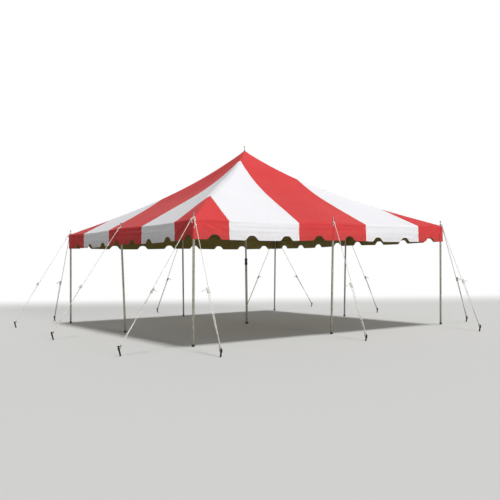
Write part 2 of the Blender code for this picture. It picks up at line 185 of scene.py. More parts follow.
def add(tree, kind, settings=None, values=None, links=None):
    """Adds a node, sets its properties and input values, and links sockets into its inputs."""
    made = tree.nodes.new("ShaderNode" + kind)
    for key, value in (settings or {}).items():
        setattr(made, key, value)
    for key, value in (values or {}).items():
        made.inputs[key].default_value = value
    for key, socket in (links or {}).items():
        tree.links.new(socket, made.inputs[key])
    return made


def ramp(tree, source, stops):
    """A colour ramp from (place, hex colour) stops."""
    made = add(tree, "ValToRGB", links={"Fac": source})
    band = made.color_ramp
    while len(band.elements) < len(stops):
        band.elements.new(0.5)
    for element, (place, colour) in zip(band.elements, stops):
        element.position = place
        element.color = linear(colour)
    return made.outputs["Color"]


def coated_vinyl(name, base, faded, soiled):
    """PVC coated polyester, calendered: a flat soft sheen, the weave just felt through the coat,
    a little faded in patches and soiled towards the hem."""
    made, tree, shader = new_material(name, base, 0.55)
    shader.inputs["IOR"].default_value = 1.52
    shader.inputs["Specular IOR Level"].default_value = 0.06
    place = add(tree, "TexCoord").outputs["Object"]
    weave_map = add(tree, "UVMap").outputs["UV"]
    # Fading comes in soft patches of about a metre
    patches = add(tree, "TexNoise", values={"Scale": 0.9, "Detail": 3.0}, links={"Vector": place})
    colour = ramp(tree, patches.outputs["Fac"], ((0.30, base), (0.72, faded)))
    # Dust and rain marks gather on the lowest hand's breadth of the valance
    height = add(tree, "SeparateXYZ", links={"Vector": place}).outputs["Z"]
    streaks = add(tree, "TexNoise", values={"Scale": 7.0, "Detail": 5.0, "Roughness": 0.65},
                  links={"Vector": place})
    edge = add(tree, "MapRange", {"interpolation_type": "SMOOTHSTEP"},
               {"From Min": 1.79, "From Max": 2.02, "To Min": 0.55, "To Max": 0.06},
               {"Value": height})
    dust = add(tree, "Math", {"operation": "MULTIPLY"},
               links={0: streaks.outputs["Fac"], 1: edge.outputs["Result"]})
    soil = add(tree, "Mix", {"data_type": "RGBA"},
               links={"Factor": dust.outputs[0], "A": colour})
    soil.inputs["B"].default_value = linear(soiled)
    tree.links.new(soil.outputs["Result"], shader.inputs["Base Color"])
    # The base cloth has a thread each 1.4 mm, drawn three times as coarse so that it shows
    threads = add(tree, "TexWave", {"wave_type": "BANDS", "bands_direction": "X"},
                  {"Scale": 1000 / 4.2 / 6.283, "Distortion": 0.0}, {"Vector": weave_map})
    weft = add(tree, "TexWave", {"wave_type": "BANDS", "bands_direction": "Y"},
               {"Scale": 1000 / 4.2 / 6.283, "Distortion": 0.0}, {"Vector": weave_map})
    cloth = add(tree, "Math", {"operation": "MULTIPLY"},
                links={0: threads.outputs["Fac"], 1: weft.outputs["Fac"]})
    crumple = add(tree, "TexNoise", values={"Scale": 11.0, "Detail": 4.0, "Roughness": 0.55},
                  links={"Vector": place})
    soft = add(tree, "Bump", values={"Strength": 0.22, "Distance": 0.012},
               links={"Height": crumple.outputs["Fac"]})
    fine = add(tree, "Bump", values={"Strength": 0.25, "Distance": 0.0004},
               links={"Height": cloth.outputs[0], "Normal": soft.outputs["Normal"]})
    tree.links.new(fine.outputs["Normal"], shader.inputs["Normal"])
    gloss = add(tree, "MapRange", values={"To Min": 0.46, "To Max": 0.62},
                links={"Value": streaks.outputs["Fac"]})
    tree.links.new(gloss.outputs["Result"], shader.inputs["Roughness"])
    return made


def painted_shade_backing():
    """The opaque inner face: matt and without stripes. Its dark olive is painted shade with green bounce light,
    the look of the roof's shaded underside.
    """
    made, tree, shader = new_material("olive inner face with painted shade", "#807334", 0.7)
    place = add(tree, "TexCoord").outputs["Object"]
    patches = add(tree, "TexNoise", values={"Scale": 1.6, "Detail": 4.0}, links={"Vector": place})
    colour = ramp(tree, patches.outputs["Fac"], ((0.3, "#786B30"), (0.7, "#897B3A")))
    tree.links.new(colour, shader.inputs["Base Color"])
    cloth = add(tree, "TexNoise", values={"Scale": 220.0, "Detail": 2.0}, links={"Vector": place})
    rough = add(tree, "Bump", values={"Strength": 0.2, "Distance": 0.0006},
                links={"Height": cloth.outputs["Fac"]})
    tree.links.new(rough.outputs["Normal"], shader.inputs["Normal"])
    return made


def welded_tape():
    """The welded overlap of two panels: pale, a little glossier, with a heat seal pressed in."""
    made, tree, shader = new_material("welded white seam", "#F1EEEC", 0.34)
    uv = add(tree, "UVMap").outputs["UV"]
    along = add(tree, "SeparateXYZ", links={"Vector": uv})
    # The sealing wheel leaves a groove every 3 mm, drawn at 9 mm
    wheel = add(tree, "Math", {"operation": "MULTIPLY"}, {1: 2 * pi / 0.009},
                {0: along.outputs["Y"]})
    grooves = add(tree, "Math", {"operation": "SINE"}, links={0: wheel.outputs[0]})
    pressed = add(tree, "Bump", values={"Strength": 0.4, "Distance": 0.0006},
                  links={"Height": grooves.outputs[0]})
    tree.links.new(pressed.outputs["Normal"], shader.inputs["Normal"])
    grime = add(tree, "TexNoise", values={"Scale": 5.0, "Detail": 5.0},
                links={"Vector": add(tree, "TexCoord").outputs["Object"]})
    colour = ramp(tree, grime.outputs["Fac"], ((0.35, "#F4F1EF"), (0.75, "#DDD8D4")))
    tree.links.new(colour, shader.inputs["Base Color"])
    return made


def woven_webbing():
    """Polyester webbing, herringbone woven: dull, ribbed along its length."""
    made, tree, shader = new_material("woven polyester webbing", "#6B6450", 0.85)
    uv = add(tree, "SeparateXYZ", links={"Vector": add(tree, "UVMap").outputs["UV"]})
    ribs = add(tree, "Math", {"operation": "MULTIPLY"}, {1: 2 * pi / 0.004}, {0: uv.outputs["X"]})
    picks = add(tree, "Math", {"operation": "MULTIPLY"}, {1: 2 * pi / 0.006}, {0: uv.outputs["Y"]})
    joined = add(tree, "Math", {"operation": "ADD"}, links={0: ribs.outputs[0], 1: picks.outputs[0]})
    twill = add(tree, "Math", {"operation": "SINE"}, links={0: joined.outputs[0]})
    bump = add(tree, "Bump", values={"Strength": 0.5, "Distance": 0.0008},
               links={"Height": twill.outputs[0]})
    tree.links.new(bump.outputs["Normal"], shader.inputs["Normal"])
    return made


def galvanised_tube():
    """Hot dip galvanised steel tube, weathered: grey with a warm cast, dull spangle, darker below."""
    made, tree, shader = new_material("weathered galvanised tube", "#A5A396", 0.46, 0.5)
    place = add(tree, "TexCoord").outputs["Object"]
    spangle = add(tree, "TexVoronoi", values={"Scale": 90.0}, links={"Vector": place})
    cloud = add(tree, "TexNoise", values={"Scale": 14.0, "Detail": 6.0}, links={"Vector": place})
    mixed = add(tree, "Mix", {"data_type": "FLOAT"}, {"Factor": 0.65},
                {"A": spangle.outputs["Color"], "B": cloud.outputs["Fac"]})
    colour = ramp(tree, mixed.outputs["Result"], ((0.25, "#848177"), (0.5, "#A5A396"), (0.8, "#BFBDB0")))
    height = add(tree, "SeparateXYZ", links={"Vector": place}).outputs["Z"]
    low = add(tree, "MapRange", {"interpolation_type": "SMOOTHSTEP"},
              {"From Min": 0.02, "From Max": 0.45, "To Min": 0.6, "To Max": 0.0}, {"Value": height})
    patchy = add(tree, "Math", {"operation": "MULTIPLY"},
                 links={0: low.outputs["Result"], 1: cloud.outputs["Fac"]})
    soil = add(tree, "Mix", {"data_type": "RGBA"}, links={"Factor": patchy.outputs[0], "A": colour})
    soil.inputs["B"].default_value = linear("#4A4334")
    tree.links.new(soil.outputs["Result"], shader.inputs["Base Color"])
    dull = add(tree, "MapRange", values={"To Min": 0.36, "To Max": 0.60},
               links={"Value": cloud.outputs["Fac"]})
    tree.links.new(dull.outputs["Result"], shader.inputs["Roughness"])
    return made


def plain_steel(name, dark, mid, light, roughness, metallic, grain):
    """Steel with mill scale or wear in three tones."""
    made, tree, shader = new_material(name, mid, roughness, metallic)
    place = add(tree, "TexCoord").outputs["Object"]
    wear = add(tree, "TexNoise", values={"Scale": grain, "Detail": 6.0, "Roughness": 0.7},
               links={"Vector": place})
    colour = ramp(tree, wear.outputs["Fac"], ((0.32, dark), (0.52, mid), (0.72, light)))
    tree.links.new(colour, shader.inputs["Base Color"])
    pitted = add(tree, "Bump", values={"Strength": 0.4, "Distance": 0.0006},
                 links={"Height": wear.outputs["Fac"]})
    tree.links.new(pitted.outputs["Normal"], shader.inputs["Normal"])
    return made


def moulded_rubber():
    """Moulded rubber foot cap: black grey, matt, dusty."""
    made, tree, shader = new_material("moulded rubber foot", "#24231F", 0.75)
    dust = add(tree, "TexNoise", values={"Scale": 60.0, "Detail": 4.0},
               links={"Vector": add(tree, "TexCoord").outputs["Object"]})
    colour = ramp(tree, dust.outputs["Fac"], ((0.4, "#201F1B"), (0.75, "#46423A")))
    tree.links.new(colour, shader.inputs["Base Color"])
    return made


def twisted_polyester(name, clean, grimy, soiled):
    """Three strand polyester rope: yarns, lay lines along the strands, soiled near the ground."""
    made, tree, shader = new_material(name, clean, 0.8)
    shader.inputs["Sheen Weight"].default_value = 0.2
    place = add(tree, "TexCoord").outputs["Object"]
    uv = add(tree, "SeparateXYZ", links={"Vector": add(tree, "UVMap").outputs["UV"]})
    # The mesh turns with the lay, so the yarns run the other way across each strand
    around = add(tree, "Math", {"operation": "MULTIPLY"}, {1: 2 * pi * 24}, {0: uv.outputs["X"]})
    along = add(tree, "Math", {"operation": "MULTIPLY"}, {1: 2 * pi / 0.010}, {0: uv.outputs["Y"]})
    slanted = add(tree, "Math", {"operation": "ADD"}, links={0: around.outputs[0], 1: along.outputs[0]})
    yarn = add(tree, "Math", {"operation": "SINE"}, links={0: slanted.outputs[0]})
    bump = add(tree, "Bump", values={"Strength": 0.45, "Distance": 0.0005},
               links={"Height": yarn.outputs[0]})
    tree.links.new(bump.outputs["Normal"], shader.inputs["Normal"])
    grime = add(tree, "TexNoise", values={"Scale": 18.0, "Detail": 5.0}, links={"Vector": place})
    colour = ramp(tree, grime.outputs["Fac"], ((0.3, clean), (0.7, grimy)))
    height = add(tree, "SeparateXYZ", links={"Vector": place}).outputs["Z"]
    low = add(tree, "MapRange", {"interpolation_type": "SMOOTHSTEP"},
              {"From Min": 0.05, "From Max": 0.30, "To Min": 0.40, "To Max": 0.0}, {"Value": height})
    soil = add(tree, "Mix", {"data_type": "RGBA"}, links={"Factor": low.outputs["Result"], "A": colour})
    soil.inputs["B"].default_value = linear(soiled)
    tree.links.new(soil.outputs["Result"], shader.inputs["Base Color"])
    return made


def moulded_nylon():
    """Runner of moulded nylon, weathered: grey white, dull, with a faint flow pattern and scuffs."""
    made, tree, shader = new_material("moulded nylon runner", "#C9C8C2", 0.55)
    place = add(tree, "TexCoord").outputs["Object"]
    scuff = add(tree, "TexNoise", values={"Scale": 160.0, "Detail": 5.0, "Roughness": 0.7},
                links={"Vector": place})
    colour = ramp(tree, scuff.outputs["Fac"], ((0.35, "#B2B1AA"), (0.55, "#CBCAC4"), (0.8, "#DAD9D4")))
    tree.links.new(colour, shader.inputs["Base Color"])
    worn = add(tree, "Bump", values={"Strength": 0.3, "Distance": 0.0004},
               links={"Height": scuff.outputs["Fac"]})
    tree.links.new(worn.outputs["Normal"], shader.inputs["Normal"])
    return made


RED_VINYL = coated_vinyl("red coated vinyl", "#D24142", "#D94B4D", "#8A463C")
WHITE_VINYL = coated_vinyl("white coated vinyl", "#EAE9ED", "#EEEDF1", "#B4B0A6")
# Inner face of every sheet, dark olive as painted shade
PAINTED_SHADE_BACKING = painted_shade_backing()
SEAM = welded_tape()
STRAP = woven_webbing()
TUBE = galvanised_tube()
BRIGHT_STEEL = plain_steel("zinc plated steel pin", "#8B8880", "#A8A59C", "#BFBCB4", 0.35, 0.9, 70.0)
GROMMET = plain_steel("nickel plated brass grommet", "#8F8570", "#A79C84", "#BDB59F", 0.3, 0.9, 90.0)
SLEEVE = plain_steel("painted steel sleeve", "#2B2A26", "#35342F", "#45433C", 0.5, 0.3, 45.0)
STAKE = plain_steel("hot rolled steel stake", "#15140F", "#221F19", "#4A3B2C", 0.55, 0.6, 110.0)
RUBBER = moulded_rubber()
ROPE = twisted_polyester("twisted polyester rope", "#F2EFE7", "#D9D4C6", "#A79F83")
# The same rope in darker greys all over, painted shade for the ropes in the tent's shadow
PAINTED_SHADE_ROPE = twisted_polyester("polyester rope darkened as painted shade", "#99968A", "#77746A", "#6E6B60")
RUNNER = moulded_nylon()


# Shape of the fabric


def slack_height(far):
    """Height of the slack hips, from the distance to the middle."""
    u = 1 - far / HALF
    return EAVE + (PEAK - EAVE) * (SAG_LINEAR * u + (1 - SAG_LINEAR) * u ** 3)


def smooth(share):
    share = np.clip(share, 0, 1)
    return share * share * (3 - 2 * share)


def hip_bend(far):
    """Radius in plan of the turn over a hip: tight at the corner, soft higher up."""
    return np.minimum(HIP_BEND + (HIP_ROUND - HIP_BEND) * smooth((3.0 - far) / 0.9), 0.30 * far)


def roof_height(k, far, along):
    """Height of the roof on side k."""
    across = np.clip(np.abs(along) / np.maximum(far, 0.0001), 0, 1)
    u = np.clip(1 - far / HALF, 0, 1)
    taut = (along < 0) == (k % 2 == 0)
    # Near its hip the lift of a taut side levels out, and the crest makes up for the rounding in plan
    late = np.clip((across - HIP_EASE) / (1 - HIP_EASE), 0, 1)
    eased_across = np.minimum(across, HIP_EASE) + (1 - HIP_EASE) * (late - late ** 2 / 2)
    top = (1 + HIP_EASE) / 2
    taut_lift = TAUT_LIFT * u * (1 - u) ** 1.5 * (eased_across / top) ** 2
    slack_lift = SLACK_LIFT * 4 * u * (1 - u) * across ** 2
    slope = (PEAK - EAVE) / HALF * (SAG_LINEAR + 3 * (1 - SAG_LINEAR) * u ** 2)
    cut_off = (1 - sqrt(0.5)) * np.maximum(hip_bend(far) - HIP_BEND, 0) * slope
    crest = cut_off * np.exp(-((far - np.abs(along)) / 0.45) ** 2)
    return (slack_height(far) + BULGE * 4 * u * (1 - u) * (1 - across ** 2) + crest
            + np.where(taut, taut_lift, slack_lift))


SLOPE = atan2((PEAK - EAVE) * SAG_LINEAR, HALF)
BEND_START = EDGE - EAVE_BEND * (1 - sin(SLOPE))
BEND_TOP = slack_height(BEND_START)
BEND_LENGTH = EAVE_BEND * (pi / 2 - SLOPE)
VALANCE_TOP = BEND_TOP - EAVE_BEND * cos(SLOPE)


def far_at(down):
    """Level distance from the middle to the cloth, for a length below the bend's start."""
    theta = np.clip(SLOPE + down / EAVE_BEND, SLOPE, pi / 2)
    bent = BEND_START + EAVE_BEND * (np.sin(theta) - sin(SLOPE))
    return np.where(down <= 0, BEND_START + down, bent)


def notch_rise(along, side):
    """Height of the lower edge above its flat stretches: round at the top, flared at the foot."""
    place = (along - NOTCH_SHIFT[side]) / NOTCH_PITCH - 0.5
    nearest = np.clip(np.round(place), -4, 3)
    off = np.clip(np.abs(place - nearest) * NOTCH_PITCH / NOTCH_HALF, 0, 1)
    return NOTCH_RISE * (0.5 + 0.5 * np.cos(pi * off ** NOTCH_POWER))


def ripple(k, along, down):
    """How far the fabric stands out from its mean surface. down is the length below the bend's start."""
    pins = (-HALF, 0.0, HALF)
    strengths = (0.0032, 0.0030, 0.0030)
    out = np.zeros_like(along)
    # Tension folds run out from the pins and die away
    for pin, strength in zip(pins, strengths):
        step = along - pin
        level = down + 0.016
        reach = np.hypot(step, level)
        angle = np.arctan2(level, np.abs(step) + 0.02)
        fade = np.exp(-reach / 0.52) * (1 - np.exp(-(reach / CALM) ** 4))
        turn = 0.6 * k + (0.9 if pin else 0.0) + np.where(step > 0, 0.0, 1.3)
        out += strength * fade * np.cos(11.5 * angle + turn)
    # Sharper grooves fan out below the eave from the corner pins
    for pin, sign in ((-HALF, 1), (HALF, -1)):
        level = down + 0.016
        step = np.maximum((along - pin) * sign, 0) + 0.01
        reach = np.hypot(step, level)
        angle = np.arctan2(level, step)
        fade = np.exp(-reach / 0.46) * (1 - np.exp(-(reach / CALM) ** 4))
        for n, (slant, depth) in enumerate(((0.17, 0.0260), (0.38, 0.0320), (0.66, 0.0260))):
            turn = slant + 0.035 * sin(2.0 * k + 1.7 * n + pin)
            out -= depth * fade * np.exp(-((angle - turn) / 0.065) ** 2)
    hang = np.clip(down, 0, 1)
    nearest = np.min([np.hypot(along - pin, down + 0.016) for pin in pins], axis=0)
    loose = 1 - np.exp(-(nearest / CALM) ** 4)
    # Soft creases run level below the eave, where the folded roof was packed
    for level, depth, speed, phase in ((0.060, 0.0130, 1.9, 0.4), (0.135, 0.0110, 1.3, 2.1),
                                       (0.210, 0.0060, 1.6, 4.0)):
        drift = level + 0.012 * np.sin(1.3 * along + phase + k)
        swell = 0.55 + 0.45 * np.sin(speed * along + phase + 1.7 * k)
        out -= depth * swell * loose * np.exp(-((down - drift) / 0.023) ** 2)
    # The hem sways a little between its notches
    sway = 0.6 * np.sin(2.6 * along + 1.1 * k + 0.4) + 0.4 * np.sin(6.1 * along + 2.3 * k + 1.9)
    out += 0.020 * sway * hang ** 1.2
    # Long shallow waves in the roof between the load straps
    slack = np.clip(-down / 0.6, 0, 1) * np.exp(down / 2.2)
    out += 0.0035 * slack * np.sin(5.2 * along + 1.4 * down + 0.8 * k) * np.cos(1.9 * down + k)
    return out


def corner_sway(corner, down):
    """How far a corner stands out, the same for the two sides that meet there."""
    return 0.008 * np.sin(2.1 * corner + 0.7) * np.clip(down, 0, 1) ** 1.2


def surface(k, along, down, proud=0.0):
    """Points of the fabric on side k, where down is the length below the bend's start.

    Above the bend, down is minus the level distance to it, so that rows are squares in plan.
    """
    along, down = np.broadcast_arrays(np.asarray(along, float), np.asarray(down, float))
    far, height, out_level, out_up = base_shape(k, along, down)
    corner = np.where(along < 0, k, k + 1) % 4
    own = smooth((far - np.abs(along)) / 0.07)
    shift = ripple(k, along, down) * own + corner_sway(corner, down) * (1 - own) + proud
    far_moved = far + out_level * shift
    # A corner is rounded in plan, more where the hip turns down into the valance
    bend = hip_bend(far)
    start = far - bend
    angle = np.clip((np.abs(along) - start) / bend, 0, 1) * pi / 4
    rounded = np.abs(along) > start
    side_way = np.where(rounded, start + (bend + far_moved - far) * np.sin(angle), np.abs(along))
    front_way = np.where(rounded, start + (bend + far_moved - far) * np.cos(angle), far_moved)
    x = np.sign(along) * side_way
    y = -front_way
    sag = EAVE_SAG * np.sin(pi * along / HALF) ** 2 * np.exp(-(np.minimum(down, 0) / 0.7) ** 2)
    z = height + out_up * shift - sag
    turn = k * pi / 2
    return np.stack([x * cos(turn) - y * sin(turn), x * sin(turn) + y * cos(turn), z], axis=-1)


def base_shape(k, along, down):
    """Distance to the middle, height, and the outward normal's level and upright parts."""
    far = np.maximum(np.where(down <= 0, BEND_START + down, 0.0), PEAK_HOLE)
    height = roof_height(k, far, along)
    step = 0.002
    fall = (roof_height(k, far - step, along) - roof_height(k, far + step, along)) / (2 * step)
    size = np.sqrt(1 + fall ** 2)
    out_level, out_up = fall / size, 1 / size
    theta = np.clip(SLOPE + down / EAVE_BEND, SLOPE, pi / 2)
    in_bend = down > 0
    low = np.maximum(down - BEND_LENGTH, 0)
    high_bend = BEND_TOP - EAVE_BEND * (cos(SLOPE) - np.cos(theta)) - low
    far = np.where(in_bend, far_at(down), far)
    height = np.where(in_bend, high_bend, height)
    out_level = np.where(in_bend, np.sin(theta), out_level)
    out_up = np.where(in_bend, np.cos(theta), out_up)
    return far, height, out_level, out_up


def roof_rows():
    """Level distances to the middle of the roof's rows, closer together near the eave."""
    rows = {PEAK_HOLE, 0.022, HIP_TAUT, HIP_SLACK, HIP_FAR, KITE_HIGH, KITE_HIP}
    rows |= set(np.linspace(0.035, HIP_TAUT, 14))
    rows |= set(np.linspace(HIP_TAUT, HIP_SLACK, 17))
    rows |= set(np.linspace(HIP_SLACK, HIP_FAR, 13))
    rows |= set(np.linspace(HIP_FAR, KITE_HIP, 20))
    rows |= set(np.linspace(KITE_HIP, BEND_START, 28))
    return sorted(round(float(row), 6) for row in rows)


ROOF_ROWS = roof_rows()
BEND_ROWS = [BEND_LENGTH * step / 6 for step in range(1, 7)]
VALANCE_SHARES = [1 - (1 - step / 18) ** 1.15 for step in range(1, 19)]


def seam(hip, mark, far):
    """Distance of a seam from the middle of its side. It runs from a hip to its mark at the eave."""
    return hip + (mark - hip) * (far - hip) / (EDGE - hip)


def eave_places(start, end, side):
    """Places along the eave for the columns of a panel, with each notch well covered."""
    count = max(4, round((end - start) / 0.030))
    places = set(np.linspace(start, end, count + 1))
    for n in range(-4, 4):
        middle = (n + 0.5) * NOTCH_PITCH + NOTCH_SHIFT[side]
        places |= {m for m in middle + NOTCH_HALF * np.linspace(-1.05, 1.05, 19) if start < m < end}
    # The turn at a corner needs columns close together
    near_corner = EDGE - 0.0065 * np.arange(1, 6)
    places |= {m for m in (*near_corner, *-near_corner) if start < m < end}
    ordered = sorted(places)
    kept = [ordered[0]]
    for place in ordered[1:]:
        if place - kept[-1] > 0.006:
            kept.append(place)
    kept[-1] = ordered[-1]
    return np.array(kept)


def valance_depth(along, side):
    """Length of the valance from the bend's start to its lower edge."""
    return BEND_LENGTH + VALANCE_TOP - (EAVE - VALANCE_DROP + notch_rise(along, side))


def wing(k, first_row, limits):
    """Grid of one strip on side k: points, and the fabric's own coordinates in metres.

    limits gives the strip's two ends for a distance from the middle.
    """
    side = SIDES[k % 4]
    ends = limits(EDGE)
    places = eave_places(*ends, side)
    shares = (places - ends[0]) / (ends[1] - ends[0])
    along_rows = []
    down_rows = []
    for far in [row for row in ROOF_ROWS if row > first_row - 0.00001]:
        low, high = limits(far)
        along_rows.append(low + (high - low) * shares)
        down_rows.append(np.full(len(shares), far - BEND_START))
    depth = valance_depth(places, side)
    for down in BEND_ROWS:
        low, high = limits(float(far_at(down)))
        along_rows.append(low + (high - low) * shares)
        down_rows.append(np.full(len(shares), down))
    for share in VALANCE_SHARES:
        along_rows.append(places)
        down_rows.append(BEND_LENGTH + (depth - BEND_LENGTH) * share)
    along = np.array(along_rows)
    down = np.array(down_rows)
    return surface(k % 4, along, down), np.stack([along + 8.0 * (k % 4), down], axis=-1)


def faces_in(points):
    """True where a grid's faces, wound down its columns and then across, look into the tent."""
    first = points[1:, 1:] - points[:-1, :-1]
    second = points[:-1, 1:] - points[1:, :-1]
    away = (points[1:, 1:] + points[:-1, :-1]) / 2 - np.array((0, 0, 1.0))
    return (np.cross(first, second) * away).sum() < 0


def sheet_mesh(name, grids, finish, weld=0.0002):
    """One mesh from grids of points with their own map, joined where they meet, its faces outwards."""
    mesh = bpy.data.meshes.new(name)
    verts = []
    faces = []
    maps = []
    for points, own in grids:
        rows, columns = points.shape[:2]
        base = len(verts)
        verts += points.reshape(-1, 3).tolist()
        maps += own.reshape(-1, 2).tolist()
        way = -1 if faces_in(points) else 1
        for i in range(rows - 1):
            for j in range(columns - 1):
                a = base + i * columns + j
                faces.append((a, a + columns, a + columns + 1, a + 1)[::way])
    mesh.from_pydata(verts, [], faces)
    layer = mesh.uv_layers.new(name="UVMap")
    loop_verts = np.empty(len(mesh.loops), dtype=np.int32)
    mesh.loops.foreach_get("vertex_index", loop_verts)
    layer.data.foreach_set("uv", np.array(maps)[loop_verts].ravel())
    bm = bmesh.new()
    bm.from_mesh(mesh)
    bmesh.ops.remove_doubles(bm, verts=bm.verts, dist=weld)
    bmesh.ops.dissolve_degenerate(bm, edges=bm.edges, dist=weld)
    bm.to_mesh(mesh)
    bm.free()
    mesh.shade_smooth()
    for made in finish:
        mesh.materials.append(made)
    piece = bpy.data.objects.new(name, mesh)
    bpy.context.scene.collection.objects.link(piece)
    return piece


def give_wall(piece, thickness, inner_slot):
    """Gives a sheet its thickness inwards, with its inner face in another finish."""
    wall = piece.modifiers.new("Cloth", "SOLIDIFY")
    wall.thickness = thickness
    wall.offset = -1
    wall.material_offset = inner_slot
    select_only(piece)
    bpy.ops.object.modifier_apply(modifier=wall.name)


def select_only(piece):
    bpy.ops.object.select_all(action="DESELECT")
    piece.select_set(True)
    bpy.context.view_layer.objects.active = piece


def flat_area(piece):
    """Area of an open sheet."""
    bm = bmesh.new()
    bm.from_mesh(piece.data)
    total = sum(face.calc_area() for face in bm.faces)
    bm.free()
    return total


def corner_marks(k):
    """Eave marks at corner k on the two sides that meet there: outer and inner for each."""
    after = EAVE_MARKS[SIDES[k]]
    before = EAVE_MARKS[SIDES[k - 1]]
    return (-after[0], -after[1]), (before[3], before[2])


def crown_limits(k):
    marks = EAVE_MARKS[SIDES[k]]
    hips = (HIPS[k], HIPS[(k + 1) % 4])

    def limits(far):
        left = min(far, seam(hips[0], -marks[1], far)) if far > hips[0] else far
        right = min(far, seam(hips[1], marks[2], far)) if far > hips[1] else far
        return -left, right

    return limits


def hip_panel_grids(k, first_row, inner):
    """The two strips of a panel that folds over hip k. inner gives both limits from marks and row."""
    after, before = corner_marks(k)

    def start_of_side(far):
        outer, near = inner(after, far)
        return -outer, -near

    def end_of_side(far):
        outer, near = inner(before, far)
        return near, outer

    return [wing(k, first_row, start_of_side), wing(k - 1, first_row, end_of_side)]


def chevron_limits(hip, kite):
    def limits(marks, far):
        outer = seam(kite, marks[0], far) if far > kite else far
        return outer, min(far, seam(hip, marks[1], far))

    return limits


def kite_limits(kite):
    def limits(marks, far):
        return far, min(far, seam(kite, marks[0], far))

    return limits


def sew_canopy():
    """Nine panels of one top. Each runs from the peak over the eave down to the scalloped hem."""
    crown = sheet_mesh("canopy_crown", [wing(k, PEAK_HOLE, crown_limits(k)) for k in range(4)],
                       (RED_VINYL, PAINTED_SHADE_BACKING))
    area = flat_area(crown)
    give_wall(crown, CLOTH, 1)
    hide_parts("roof_crown_red", *("valance_%s_red" % side for side in SIDES))
    hang(crown, "red_vinyl", (7.9, 7.9), max(area, 0.3 * 7.9 * 7.9 + 0.01))
    for k, corner in enumerate(CORNER_ORDER):
        chevron = sheet_mesh("canopy_white_" + corner,
                             hip_panel_grids(k, HIPS[k], chevron_limits(HIPS[k], KITES[k])),
                             (WHITE_VINYL, PAINTED_SHADE_BACKING))
        area = flat_area(chevron)
        give_wall(chevron, CLOTH, 1)
        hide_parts("roof_white_" + corner, "valance_%s_white_left" % SIDES[k],
                    "valance_%s_white_right" % SIDES[k - 1])
        flat = 3.6 if corner == "back_left" else 4.0
        hang(chevron, "white_vinyl", (flat, flat), area)
        kite = sheet_mesh("canopy_corner_" + corner, hip_panel_grids(k, KITES[k], kite_limits(KITES[k])),
                          (RED_VINYL, PAINTED_SHADE_BACKING))
        area = flat_area(kite)
        give_wall(kite, CLOTH, 1)
        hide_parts("roof_red_" + corner, "valance_%s_red" % corner)
        hang(kite, "red_vinyl", (1.25, 1.25), area)


def hang(sheet, slot, flat, area):
    """Sets a panel on the tent."""
    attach(sheet, "root")


# Bands, patches and webbing on the fabric


def seam_line(k, hip, mark):
    """Line of a seam on side k from its hip down to the hem. mark is signed."""
    sign = 1 if mark > 0 else -1
    side = SIDES[k]
    line = [(sign * seam(hip, abs(mark), far), far - BEND_START) for far in ROOF_ROWS if far >= hip - 0.00001]
    for down in BEND_ROWS:
        line.append((sign * seam(hip, abs(mark), float(far_at(down))), down))
    depth = float(valance_depth(np.array([mark]), side)[0])
    for share in VALANCE_SHARES:
        line.append((mark, BEND_LENGTH + (depth - BEND_LENGTH - 0.001) * share))
    return line


def band_grid(k, line, widths, proud):
    """A band across a line of (along, down) on side k, with widths across it and proud above the cloth."""
    places = np.array(line, dtype=float)
    steps = np.gradient(places, axis=0)
    steps /= np.maximum(np.hypot(steps[:, 0], steps[:, 1]), 1e-9)[:, None]
    across = np.stack([-steps[:, 1], steps[:, 0]], axis=-1)
    widths = np.asarray(widths, float)
    spots = places[:, None, :] + across[:, None, :] * widths[None, :, None]
    run = np.concatenate([[0], np.cumsum(np.hypot(*np.diff(places, axis=0).T))])
    own = np.stack([np.broadcast_to(widths, spots.shape[:2]), np.broadcast_to(run[:, None], spots.shape[:2])],
                   axis=-1)
    lift = np.broadcast_to(np.asarray(proud, float), spots.shape[:2])
    return surface(k, spots[..., 0], spots[..., 1], lift), own


def finish_band(name, grids, finishes, thickness=0.0):
    """Joins grids into one band, gives it a wall where it needs one, and sets it on the tent."""
    band = sheet_mesh(name, grids, finishes)
    if thickness:
        give_wall(band, thickness, len(finishes) - 1)
    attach(band, "root")
    return band


def weld_seams():
    """A pale welded overlap along each edge between two panels."""
    half = TAPE / 2
    widths = (half, half * 0.92, 0.0, -half * 0.92, -half)
    proud = (0.0002, 0.0011, 0.0012, 0.0011, 0.0002)
    for k, side in enumerate(SIDES):
        hips = (KITES[k], HIPS[k], HIPS[(k + 1) % 4], KITES[(k + 1) % 4])
        grids = [band_grid(k, seam_line(k, hip, mark), widths, proud)
                 for hip, mark in zip(hips, EAVE_MARKS[side])]
        finish_band("seams_" + side, grids, (SEAM,))


def hem_valance():
    """The lower edge is turned up and welded: a doubled band that follows every notch."""
    widths = (-0.0004, 0.003, HEM - 0.002, HEM)
    proud = (0.0010, 0.0012, 0.0012, 0.0003)
    for k, side in enumerate(SIDES):
        marks = EAVE_MARKS[side]
        ends = (-EDGE, *marks, EDGE)
        stretches = list(zip(ends, ends[1:], ("red", "white", "red", "white", "red")))
        for colour, finish in (("red", RED_VINYL), ("white", WHITE_VINYL)):
            grids = []
            for start, end, named in stretches:
                if named == colour:
                    places = eave_places(start + (TAPE / 2 if start > -EDGE else 0.0001),
                                         end - (TAPE / 2 if end < EDGE else 0.0001), side)
                    line = list(zip(places[::-1], valance_depth(places[::-1], side)))
                    grids.append(band_grid(k, line, widths, proud))
            finish_band("hem_%s_%s" % (side, colour), grids, (finish,))


def patch_grid(k, middle, down, radii, turns, proud):
    """Part of a round patch on side k, about a place on the cloth."""
    angle, radius = np.meshgrid(np.asarray(turns), np.asarray(radii))
    along = middle + radius * np.cos(angle)
    low = down + radius * np.sin(angle)
    own = np.stack([along + 8.0 * k, low], axis=-1)
    return surface(k, along, low, proud), own


